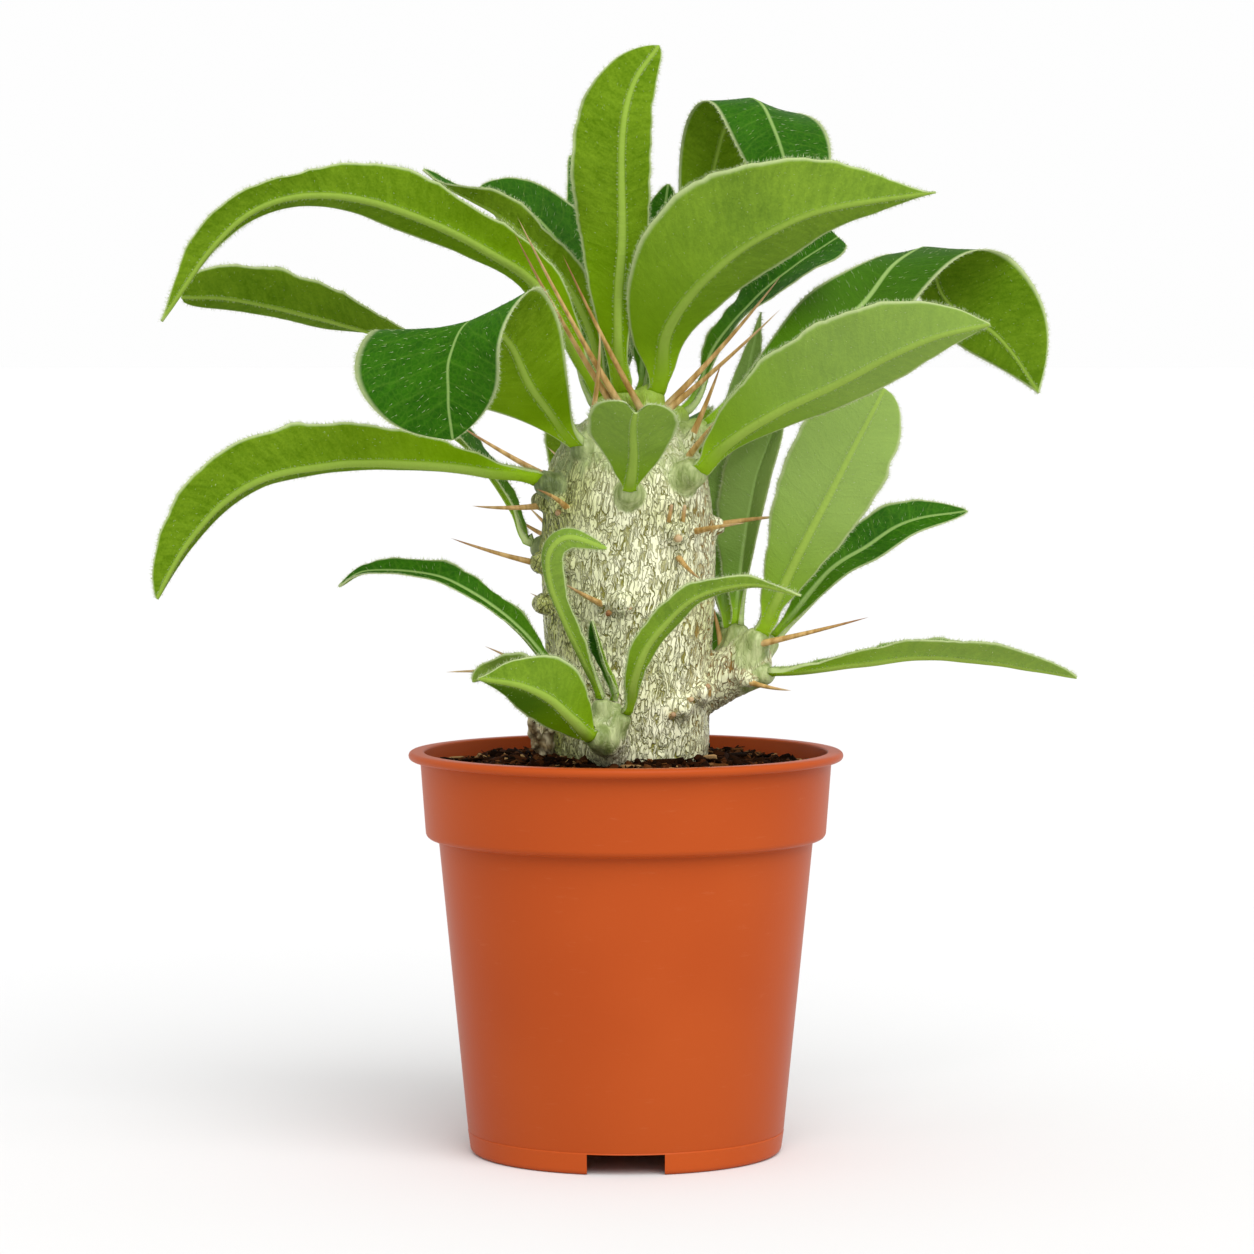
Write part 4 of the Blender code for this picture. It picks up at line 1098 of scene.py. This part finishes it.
# %% Stem: its bark and wax
bark = Finish("silver_bark", Roughness=0.3)
height = bark.reading("relief")
upwards = bark.axis(2)
waxy = bark.reading("wax").math("MAXIMUM", upwards.between(0.179, 0.192) * 0.68)
drift = bark.noise(260, 2, 0.5) * 0.0022
upright = bark.place((1, 1, 0.3))
moved = bark.add("ShaderNodeVectorMath", {"operation": "ADD"}, {0: upright, 1: drift})
creases = bark.lines(600, 0.005, 0.06, moved).math("MAXIMUM", bark.lines(980, 0.0, 0.06, moved) * 0.6)
backs = 1 - creases * (1.15 - height * 0.6)
# painted shade: the left side of the stem, x below zero, is darkened in colour
painted_left_shade = 1 - bark.axis(0).between(-0.021, 0.0)
crown_share = upwards.between(0.197, 0.206)
broad = bark.noise(60, 2).between(0.35, 0.65)
# the painted left shade is mixed with broad random patches of darker olive
left_shade_and_patches = painted_left_shade * 0.7 + (1 - broad) * 0.3
right_edge = bark.axis(0).between(0.014, 0.024)
crease = bark.blend(left_shade_and_patches, colour("8C8832"), colour("3E4404"))
crease = bark.blend(right_edge * 0.7, crease, colour("96662E"))
back = bark.blend(left_shade_and_patches, colour("FFFEDA"), colour("9EA646"))
shaded = bark.noise(180, 2).between(0.4, 0.7)
back = bark.blend(shaded * 0.2, back, colour("D0D692"))
moss = bark.noise(38, 3, 0.6).between(0.5, 0.72)
back = bark.blend(moss * 0.35, back, colour("B9BE62"))
foil = bark.blend(backs, crease, back)
rust = bark.noise(130, 3, 0.6).between(0.66, 0.78)
foil = bark.blend(rust * 0.45, foil, colour("A6814A"))
bloom = bark.noise(330, 3, 0.6, upright).between(0.3, 0.75)
fresh = bark.blend(bloom, colour("74883A"), colour("C6D094"))
fresh = bark.blend(crown_share * 0.85, fresh, colour("98B828"))
# cushions on the left side take a darker copy of their colour as painted shade
shady = bark.blend(bloom, colour("465820"), colour("8A985C"))
cushion_tone = bark.blend(painted_left_shade, fresh, shady)
bark.feed(
    Base_Color=bark.blend((waxy + (bloom - 0.5) * 0.5).between(0.3, 0.85), foil, cushion_tone),
    Roughness=0.22 + waxy * 0.22 + creases * 0.2)
bark.shape((1 - creases) * (1 - waxy * 0.85), 0.0006, 1.0)
stem = settle(piece_of(stem_mesh, "stem_bark", bark.material), "stem_bark", "stem")
print("stem triangles:", triangles(stem))

# %% [markdown]
# ## Spines
# A young spine is a slim cone, very slightly bowed, warm brown with a paler or a darker tip. The template is
# spun from an outline that swells at the root, and every copy is stretched to the length of its own spine.

# %% Spines and their broken stubs
SPINE_RADIUS = 0.95
SPINE_SINK = 2.5
SPINE_TAPER = 0.68
SPINE_BULB = 0.35  # how much the root swells
SPINE_BOW = 0.9  # how far the middle leaves the straight line, in radii
STUB_SINK = 1.5


def spine_template():
    outline = [(0, -1)]
    for step in range(11):
        t = step / 10
        outline.append((max(0.0, (1 - t) ** SPINE_TAPER * (1 + SPINE_BULB * (1 - t) ** 6)), 2 * t - 1))
    bm = turned(outline, 10)
    for vert in bm.verts:
        vert.co.x += SPINE_BOW * (1 - vert.co.z ** 2)
    return bm


def stub_template():
    bm = bmesh.new()
    bmesh.ops.create_cone(bm, cap_ends=True, segments=14, radius1=1.15, radius2=0.9, depth=2)
    top = [edge for edge in bm.edges if min(vert.co.z for vert in edge.verts) > 0.9]
    bmesh.ops.bevel(bm, geom=top, offset=0.25, affect="EDGES", segments=2, profile=0.5, material=-1)
    return bm


def between(root, tip, radius, spin, sink):
    """The matrix of a template that reaches from below its root on the bark to its tip."""
    heading = (tip - root).normalized()
    start = root - heading * sink
    return pose((start + tip) / 2, heading, (radius, radius, (tip - start).length / 2), spin)


horn = Finish("spine_horn", Roughness=0.4, Specular_IOR_Level=0.4)
up_the_spine = horn.reading("along")
streaks = horn.noise(700, 2, 0.5, horn.place((1, 1, 0.2))).between(0.3, 0.7)
brown = horn.blend(streaks, colour("A8803E"), colour("D4AE6E"))
tips = horn.blend(horn.reading("tone"), colour("DCC294"), colour("8A5A30"))
root_tone = horn.blend(up_the_spine.between(0.02, 0.2), colour("BCAA78"), brown)
horn.feed(Base_Color=horn.blend(up_the_spine.between(0.55, 0.98), root_tone, tips))
horn.shape(streaks, 0.0001, 0.6)

rng = random.Random(5)
spine_places = [between(root, tip, SPINE_RADIUS, rng.uniform(0, 6.28), SPINE_SINK) for root, tip in spines]
stub_places = [between(Vector(root), Vector(tip), radius, 0, STUB_SINK) for root, tip, radius in STUBS]
spine_piece = settle(strewn(spine_template(), spine_places, "spines", horn.material, 4), "stem_bark")
stub_piece = settle(strewn(stub_template(), stub_places, "spine_stubs", horn.material, 6), "stem_bark")
print("spine triangles:", triangles(spine_piece), "stubs:", triangles(stub_piece))

# %% [markdown]
# ## A dry scale
# One dead bract still clings to the foot of the trunk. It is a thin sheet that dried up: a small grid, narrowed
# upwards, torn along its top, bent round the trunk and crumpled by noise, before Solidify gives it the
# thickness of paper.

# %% Dry scale
SCALE_CENTRE = Vector((-22.5, -4, 116))
SCALE_HALF_WIDTH = 4.4
SCALE_HALF_HEIGHT = 6.0
SCALE_THICKNESS = 0.4


def scale_point(u, v):
    """u runs across from -1 to 1, v runs up from -1 to 1."""
    width = SCALE_HALF_WIDTH * (0.8 + 0.2 * min(1, v + 1)) * (1 - 0.35 * max(0, v))
    crumple = noise.noise(Vector((u * 1.6, v * 1.9, 4.2)))
    sharp = noise.noise(Vector((u * 4.1, v * 4.6, 9.7)))
    ragged = 0.75 - 0.34 * u + 1.1 * noise.noise(Vector((u * 3.4, 2.6, 8.1)))
    height = SCALE_HALF_HEIGHT * (v * ragged if v > 0 else v)
    away = 1.4 * u**2 - 1.5 * v + 2.4 * crumple + 1.4 * sharp
    return SCALE_CENTRE + Vector((u * width - 1.2 * v + 0.5 * sharp, away, height + 0.8 * crumple))


paper = Finish("dry_scale", Roughness=0.75, Specular_IOR_Level=0.2)
veining = paper.noise(900, 2, 0.6, paper.place((1, 1, 0.2))).between(0.3, 0.7)
stain = paper.noise(260, 2).between(0.35, 0.65)
dry_brown = paper.blend(veining, colour("5A482C"), colour("A18A64"))
paper.feed(Base_Color=paper.blend(stain, dry_brown, colour("D2C6A2")))
bm = bmesh.new()
bmesh.ops.create_grid(bm, x_segments=24, y_segments=28, size=1)
for vert in bm.verts:
    vert.co = scale_point(vert.co.x, vert.co.y)
scale = piece_from(bm, "dry_scale", paper.material)
shell = scale.modifiers.new("paper", "SOLIDIFY")
shell.thickness = SCALE_THICKNESS * MM
shell.offset = 0
settle(scale, "stem_bark")
print("dry scale triangles:", triangles(scale))

# %% [markdown]
# ## Leaf blades
# A leaf is thin: half a millimetre of blade that thins out at the edge, on a thick stalk that runs on as a
# raised rib along the underside. A flat sheet with a picture of a rib would give itself away at the first side
# view. A grid is bent to the rule, and Solidify thickens it downwards by an amount that every vertex states
# for itself. The underside gets a material of its own, because it is paler and duller than the top.

# %% Leaves: shaping a blade
BLADE = 0.55
EDGE = 0.24
RIB_RISE = 1.0
ROWS = 64
COLUMNS = 22
NARROW = 8.0
NARROW_COLUMNS = 16
CROWDING = 1.3  # crowds the columns of a blade towards its rib
RUFFLE_PITCH = 0.14
SWELL = 0.25
SWELL_PITCH = 0.12
EDGE_RUFFLE = 0.95
NOTCH_HALF_WIDTH = 2.0
MARGIN_WIDTH = 0.6
SHADE_STEEPNESS = 60
EASING = {"leaf_right_arch": 24, "leaf_left_fold": 10, "leaf_arch_behind": 12}  # rounds of margin smoothing


def rib_half_width(share):
    return 0.55 + 0.95 * (1 - share)


def thickness_at(leaf, distance, side, share):
    """Blade, rib and stalk at a distance in millimetres from the midrib."""
    blade = EDGE + (BLADE - EDGE) * (1 - abs(side) ** 4)
    rise = RIB_RISE * (1 - share) ** 0.7 * math.exp(-(distance / rib_half_width(share)) ** 2)
    stalk = (1 - share) ** STALK_FADE
    return (blade + rise) * (1 - stalk) + stalk_radius(leaf) * STALK_FORM * stalk


def ease_margins(bm, rows, columns, rounds):
    """Evens out the margins along a blade where it bends so sharply that they would pinch."""
    grid = np.array([vert.co[:] for vert in bm.verts]).reshape(columns + 1, rows + 1, 3)
    reach = (np.abs(np.linspace(-1, 1, columns + 1)) ** CROWDING)[:, None, None]
    for _ in range(rounds):
        middle = (grid[:, :-2] + grid[:, 2:]) / 2
        grid[:, 1:-1] += (middle - grid[:, 1:-1]) * 0.6 * reach
    for vert, place in zip(bm.verts, grid.reshape(-1, 3)):
        vert.co = place


def place_blade(bm, leaf, rows, columns, seed):
    """Bends a unit grid to the leaf. Returns what the vertices store."""
    points, tangents, shares, length = midrib(leaf, rows)
    sides = frames(leaf, tangents, shares)
    fold = math.radians(leaf["fold"])
    stored = {"thick": [], "rib": [], "margin": [], "share": [], "flat": []}
    for vert in bm.verts:
        row = round((vert.co.x + 0.5) * rows)
        side = math.copysign(abs(vert.co.y * 2) ** CROWDING, vert.co.y)
        share = shares[row]
        across, above = sides[row]
        width = half_width(leaf, side, share)
        envelope = math.sqrt(math.sin(math.pi * share))
        phase = WAVE_TURNS * math.tau * share + (WAVE_LAG if side > 0 else 0)
        wave = leaf["wave"] * envelope * math.sin(phase) * side**2
        lift = width * math.sin(fold) * abs(side) * (1 + ARCH * (1 - abs(side))) + wave
        spot = Vector((share * length * RUFFLE_PITCH, seed * 9.1, 3.0 if side > 0 else -3.0))
        ruffle = EDGE_RUFFLE * envelope * side**4 * (noise.noise(spot) + 0.35 * noise.noise(spot * 3.1))
        spot = Vector((share * length * SWELL_PITCH, side * width * 0.16, seed * 5.3))
        swell = SWELL * envelope * noise.noise(spot)
        distance = abs(side) * width
        thick = thickness_at(leaf, distance, side, share)
        stalk = (1 - share) ** STALK_FADE
        raised = lift + swell + ruffle + (BLADE * (1 - stalk) + thick * stalk) / 2
        vert.co = points[row] + across * (side * (width + ruffle) * math.cos(fold)) + above * raised
        notch = leaf["notch"] * math.exp(-(distance / NOTCH_HALF_WIDTH) ** 2) * share ** 6
        vert.co -= tangents[row] * notch
        stored["thick"].append(thick)
        stored["rib"].append(math.exp(-(distance / (rib_half_width(share) * 1.15)) ** 2))
        stored["margin"].append(max(0.0, 1 - (width * (1 - abs(side))) / MARGIN_WIDTH))
        stored["share"].append(share)
        stored["flat"].append((share * length / 100, side * width / 100))
    return stored


def add_blade(name, leaf, seed):
    narrow = max(leaf["halves"]) < NARROW
    columns = NARROW_COLUMNS if narrow else COLUMNS
    bm = bmesh.new()
    bmesh.ops.create_grid(bm, x_segments=ROWS, y_segments=columns, size=0.5)
    stored = place_blade(bm, dict(leaf, notch=NOTCHES.get(name, 0)), ROWS, columns, seed)
    ease_margins(bm, ROWS, columns, EASING.get(name, 0))
    flat_map = bm.loops.layers.uv.new("blade")
    for face in bm.faces:
        for loop in face.loops:
            loop[flat_map].uv = stored["flat"][loop.vert.index]
    piece = piece_from(bm, name + "_blade", leaf_top.material, leaf_under.material)
    for key in ("rib", "margin", "share"):
        store(piece.data, key, stored[key])
    store(piece.data, "pale", [PALENESS_AND_PAINTED_LIGHT.get(name, 0.0)] * len(stored["share"]))
    # painted shade for the whole leaf, and for the half of the blade that is turned down
    depth = PAINTED_SHADE.get(name, 0.0)
    steepness = SHADE_STEEPNESS * SHADED_HALF.get(name, 0)
    store(piece.data, "deep", [depth + max(0.0, math.tanh(v * steepness)) for u, v in stored["flat"]])
    thickest = max(stored["thick"])
    group = piece.vertex_groups.new(name="thickness")
    for index, thick in enumerate(stored["thick"]):
        group.add([index], thick / thickest, "REPLACE")
    shell = piece.modifiers.new("thickness", "SOLIDIFY")
    shell.thickness = thickest * MM
    shell.offset = -1
    shell.vertex_group = "thickness"
    shell.material_offset = 1
    shell.material_offset_rim = 1
    return settle(piece, "leaf", name)


NOTCHES = {"leaf_small_front": 3.2}  # how far the tip dips in at the midrib
# Young or woolly leaves are paler and greyer, partly as painted light and sheen; others are deeper, painted
# shade
PALENESS_AND_PAINTED_LIGHT = {
    "branch_leaf_upright": 0.75, "branch_leaf_inner": 0.8, "branch_leaf_back": 0.7, "branch_leaf_low": 0.4,
    "leaf_right_front": 0.5, "leaf_small_front": 0.35, "leaf_upper_right": 0.15, "offset_leaf_front": 0.1,
    "offset_leaf_left": 0.3, "offset_leaf_curl": 0.3, "offset_leaf_right": 0.2}
# painted shade: how far each listed leaf darkens towards deep green
PAINTED_SHADE = {
    "leaf_right_arch": 0.5, "offset_leaf_front": 0.15, "leaf_left_arch": 0.28, "leaf_top": 0.22,
    "leaf_left_back": 0.5, "leaf_left_middle": 0.2, "leaf_left_inner": 0.2}
SHADED_HALF = {"offset_leaf_front": -1}  # the half of the blade that is turned down
print("blade maker ready")

# %% [markdown]
# ## Two sides of a leaf
# The upper side is deep green and shines a little. The underside is a matte yellow-green with a net of fine
# veins. On both the rib and the margin are pale, and the stalk is a fresh yellow-green. All of it is drawn
# from numbers on the mesh: how near the rib, how near the margin, how far along.

# %% Leaves: their two finishes
VEIN_PITCH = 5.6  # millimetres from one side vein to the next
VEIN_SLANT = 0.45


def leaf_finish(name, tones, roughness, vein_strength, rib_colour, gloss, rib_reach):
    """tones: colour in the shade, in the light, of the stalk end and of the margin."""
    made = Finish(name, Roughness=roughness, Specular_IOR_Level=gloss)
    shade, light, stalk, edge = tones
    flat = made.add("ShaderNodeUVMap", {"uv_map": "blade"})
    ribwards = made.axis(1, flat).math("ABSOLUTE")
    phase = (made.axis(0, flat) - ribwards * VEIN_SLANT) * (100 / VEIN_PITCH)
    wander = made.noise(6, 2, 0.5, flat) * 1.2
    comb = (phase + wander).math("FRACT")
    side_vein = 1 - (comb - 0.5).math("ABSOLUTE").between(0.0, 0.09)
    net = made.add(
        "ShaderNodeTexVoronoi", {"feature": "DISTANCE_TO_EDGE"},
        {"Vector": flat, "Scale": 62, "Randomness": 1.0})
    net_vein = 1 - net.between(0.02, 0.14)
    mottle = made.noise(60, 3, 0.6).between(0.3, 0.72)
    speck = made.noise(1300, 3, 0.7).between(0.32, 0.7)
    grain = made.add("ShaderNodeCombineXYZ", {}, {0: phase * 3.2, 1: ribwards * 22})
    streaks = made.noise(1.0, 3, 0.6, grain).between(0.3, 0.7)
    body = made.blend(mottle * 0.35 + speck * 0.3 + streaks * 0.35, shade, light)
    veins = side_vein * 0.6 + net_vein * 0.4
    body = made.blend(veins * vein_strength, body, colour("8CB444"))
    share = made.reading("share")
    # the listed leaves turn a paler grey-green: partly their wool, partly painted light and sheen
    body = made.blend(made.reading("pale"), body, colour("93AE5E"))
    # painted shade: the listed leaves and the turned-down half darken to deep green
    body = made.blend(made.reading("deep") * 0.8, body, colour("365608"))
    body = made.blend((1 - share.between(0.02, 0.62)) * 0.8, body, stalk)
    # the leaf base turns vivid yellow-green: its own fresh colour, and partly painted light shining through the
    # thin base
    body = made.blend((1 - share.between(0.03, 0.16)) * 0.65, body, colour("9CC620"))
    rib_strength = (1 - share * 0.45) * share.between(0.0, 0.2)
    ribbed = made.blend(made.reading("rib").between(*rib_reach) * rib_strength, body, rib_colour)
    made.feed(Base_Color=made.blend(made.reading("margin").between(0.25, 0.95) * 0.75, ribbed, edge))
    made.shape(veins * 0.4 + speck * 0.3 + streaks * 0.3, 0.00014, 0.9)
    return made


leaf_top = leaf_finish(
    "leaf_upper_side", (colour("194702"), colour("346A07"), colour("5C8A10"), colour("C2CF96")),
    0.5, 0.1, colour("9DBB6C"), 0.05, (0.55, 0.95))
leaf_under = leaf_finish(
    "leaf_underside", (colour("4B6C04"), colour("7C9C22"), colour("749C00"), colour("C4D19A")),
    0.65, 0.05, colour("9AB64C"), 0.01, (0.45, 0.97))
blades = {}
for index, (name, leaf) in enumerate(LEAVES.items()):
    blades[name] = add_blade(name, leaf, index)
print("blade triangles:", sum(triangles(blade) for blade in blades.values()))

# %% [markdown]
# ## Hairs
# Short white hairs stand on the leaf margins and along the rib, and lie scattered over both sides. They are
# what draws the pale line round every leaf. Blender's hair curves are lost on export, so each hair is a
# slim three-sided cone: four faces, real geometry, and cheap enough for tens of thousands.

# %% Hairs: where they stand
HAIR_RADIUS = 0.06
MARGIN_HAIRS_PER_MM = 6.5
RIB_HAIRS_PER_MM = 2.4
FACE_HAIRS_PER_MM2 = 0.11
FACE_HAIR_RADIUS = HAIR_RADIUS * 0.8
HAIR_SEAT = 0.42  # a hair's middle stands this share of its length off the leaf, so that its foot is sunk


def hair_template():
    bm = bmesh.new()
    bmesh.ops.create_cone(bm, cap_ends=True, segments=3, radius1=1, radius2=0, depth=2)
    bmesh.ops.remove_doubles(bm, verts=bm.verts, dist=0.0001)
    return bm


def blade_points(blade):
    """The upper side of a blade in millimetres, as a grid of columns across by rows along."""
    places = np.empty(len(blade.data.vertices) * 3)
    blade.data.vertices.foreach_get("co", places)
    return places.reshape(-1, ROWS + 1, 3) / MM


def sampled(grid, column, row):
    """A point between the columns and rows of a grid."""
    c = min(int(column), grid.shape[0] - 2)
    r = min(int(row), grid.shape[1] - 2)
    low = grid[c, r] * (1 - row + r) + grid[c, r + 1] * (row - r)
    high = grid[c + 1, r] * (1 - row + r) + grid[c + 1, r + 1] * (row - r)
    return low * (1 - column + c) + high * (column - c)


print("hair cone ready")


# %% Hairs: strewn over the leaves
def normal_at(grid, column, row):
    """The direction out of a blade's upper side."""
    ahead = sampled(grid, column, row + 0.5) - sampled(grid, column, max(0.0, row - 0.5))
    sideways = sampled(grid, column + 0.5, row) - sampled(grid, max(0.0, column - 0.5), row)
    return Vector(np.cross(ahead, sideways)).normalized(), Vector(ahead).normalized()


def hair_pose(spot, heading, size, radius):
    return pose(spot + heading * size * HAIR_SEAT, heading, (radius, radius, size / 2))


def margin_hairs(grid, edge, inner, rng):
    for row in range(grid.shape[1] - 1):
        start, end = Vector(grid[edge, row]), Vector(grid[edge, row + 1])
        forward = end - start
        count = forward.length * MARGIN_HAIRS_PER_MM
        for _ in range(int(count + rng.random())):
            spot = start.lerp(end, rng.random())
            outward = (start - Vector(grid[inner, row])).normalized()
            above = forward.cross(outward).normalized()
            heading = (
                outward * rng.uniform(0.5, 1.0) + forward.normalized() * rng.uniform(-0.3, 0.8)
                + above * rng.uniform(-0.7, 0.7)).normalized()
            size = rng.uniform(0.45, 1.5)
            yield hair_pose(spot, heading, size, HAIR_RADIUS)


def face_hairs(grid, upper, rng):
    """Hairs that lie outwards and forwards on the upper side, and stand any way on the underside."""
    columns, rows = grid.shape[0] - 1, grid.shape[1] - 1
    for column in range(columns):
        for row in range(rows):
            corner = Vector(grid[column, row])
            ahead = Vector(grid[column, row + 1]) - corner
            sideways = Vector(grid[column + 1, row]) - corner
            area = ahead.cross(sideways)
            above = area.normalized()
            outward = sideways.normalized() * (1 if column >= columns / 2 else -1)
            for _ in range(int(area.length * FACE_HAIRS_PER_MM2 + rng.random())):
                spot = corner + ahead * rng.random() + sideways * rng.random()
                lean = random_direction(rng)
                if upper:
                    heading = (outward + ahead.normalized() * 0.6 + above * 0.35 + lean * 0.4).normalized()
                    size = rng.uniform(0.8, 2.0)
                else:
                    spot -= above * BLADE
                    heading = (ahead.normalized() * 0.5 - above * 0.7 + lean * 0.8).normalized()
                    size = rng.uniform(0.3, 0.9)
                yield hair_pose(spot, heading, size, FACE_HAIR_RADIUS)


def rib_hairs(leaf, grid, rng):
    """Hairs that stand off the flanks of the rib on the underside."""
    _, _, shares, length = midrib(leaf, grid.shape[1] - 1)
    columns = grid.shape[0] - 1
    for row in range(1, grid.shape[1] - 2):
        share = shares[row]
        reach = (shares[row + 1] - share) * length
        for side in (-1, 1):
            width = half_width(leaf, side, share)
            place = min(0.9, rib_half_width(share) * 0.9 / width)
            column = columns * (1 + side * place ** (1 / CROWDING)) / 2
            for _ in range(int(reach * RIB_HAIRS_PER_MM + rng.random())):
                along_row = row + rng.random()
                spot = Vector(sampled(grid, column, along_row))
                above, ahead = normal_at(grid, column, along_row)
                sideways = above.cross(ahead) * side
                spot -= above * thickness_at(leaf, place * width, side * place, share)
                heading = (
                    sideways * rng.uniform(0.3, 1.0) - above * rng.uniform(0.3, 1.0)
                    + ahead * rng.uniform(-0.2, 0.8)).normalized()
                size = rng.uniform(0.3, 0.8)
                yield hair_pose(spot, heading, size, HAIR_RADIUS)


wool = Finish("leaf_wool", Roughness=0.6, Specular_IOR_Level=0.2)
wool.feed(Base_Color=wool.blend(wool.reading("tone"), colour("A3B968"), colour("DFE6C4")))
rng = random.Random(23)
on_margins, on_ribs, on_tops, on_undersides = [], [], [], []
for name, leaf in LEAVES.items():
    grid = blade_points(blades[name])
    on_margins += margin_hairs(grid, 0, 1, rng)
    on_margins += margin_hairs(grid, -1, -2, rng)
    on_ribs += rib_hairs(leaf, grid, rng)
    on_tops += face_hairs(grid, True, rng)
    on_undersides += face_hairs(grid, False, rng)
hair_beds = {
    "margin_hairs": on_margins, "rib_hairs": on_ribs,
    "upper_side_hairs": on_tops, "underside_hairs": on_undersides}
for name, places in hair_beds.items():
    hairs = settle(strewn(hair_template(), places, name, wool.material, len(places)), "leaf")
    print(name, len(places), "triangles:", triangles(hairs))

# %% [markdown]
# ## The studio
# The plant stands on a white sweep. A big soft light from the upper right front models the pot, a weaker one
# from the left opens the shadows, and a white world does the rest: it lights the plant a little less than it
# shows, so that the background is white while the forms keep their shade. The camera stands where the
# photographer's stood: 1.3 m away, as high as the middle of the crown, looking slightly down.

# %% Floor and light
FLOOR_RADIUS = 60000
WORLD_LIGHT = 0.76  # what the white world gives to the plant
WORLD_SHOWN = 0.99  # and what the camera sees of it


def soft_sun(name, side, height, power, spread):
    """A far, wide light. side is degrees to the right of the camera, height is degrees above the floor."""
    data = bpy.data.lights.new(name, "SUN")
    data.energy = power
    data.angle = math.radians(spread)
    lamp = bpy.data.objects.new(name, data)
    side, height = math.radians(side), math.radians(height)
    towards = Vector((
        math.sin(side) * math.cos(height), -math.cos(side) * math.cos(height), math.sin(height)))
    lamp.rotation_euler = towards.to_track_quat("Z", "Y").to_euler()
    lamp.location = towards * 2
    bpy.context.scene.collection.objects.link(lamp)


sweep = Finish("white_sweep", Roughness=0.9, Specular_IOR_Level=0.1)
sweep.feed(Base_Color=colour("E3E3E3"))
bm = bmesh.new()
bmesh.ops.create_circle(bm, cap_ends=True, segments=64, radius=FLOOR_RADIUS)
floor = piece_from(bm, "floor", sweep.material)

world = bpy.data.worlds.new("studio")
world.use_nodes = True
backdrop = world.node_tree.nodes["Background"]
backdrop.inputs["Color"].default_value = (1, 1, 1, 1)
seen = world.node_tree.nodes.new("ShaderNodeLightPath")
dimmed = world.node_tree.nodes.new("ShaderNodeMapRange")
dimmed.inputs["To Min"].default_value = WORLD_LIGHT
dimmed.inputs["To Max"].default_value = WORLD_SHOWN
world.node_tree.links.new(seen.outputs["Is Camera Ray"], dimmed.inputs["Value"])
world.node_tree.links.new(dimmed.outputs["Result"], backdrop.inputs["Strength"])
bpy.context.scene.world = world
soft_sun("key", 20, 48, 2.35, 50)
soft_sun("fill", -50, 60, 0.1, 60)

# %% Camera
CAMERA_DISTANCE = 1.3
CAMERA_HEIGHT = 0.221
CAMERA_TILT = 3.34
CAMERA_SIDE = 0.0003
FOCAL_LENGTH = 135.59
lens = bpy.data.cameras.new("camera")
lens.lens = FOCAL_LENGTH
camera = bpy.data.objects.new("camera", lens)
camera.location = (CAMERA_SIDE, -CAMERA_DISTANCE, CAMERA_HEIGHT)
camera.rotation_euler = (math.radians(90 - CAMERA_TILT), 0, 0)
bpy.context.scene.collection.objects.link(camera)
bpy.context.scene.camera = camera
bpy.context.scene.view_settings.view_transform = "Standard"

# %% [markdown]
# ## The end
# Last, the scene is brought up to date.

# %% Finish
bpy.context.view_layer.update()
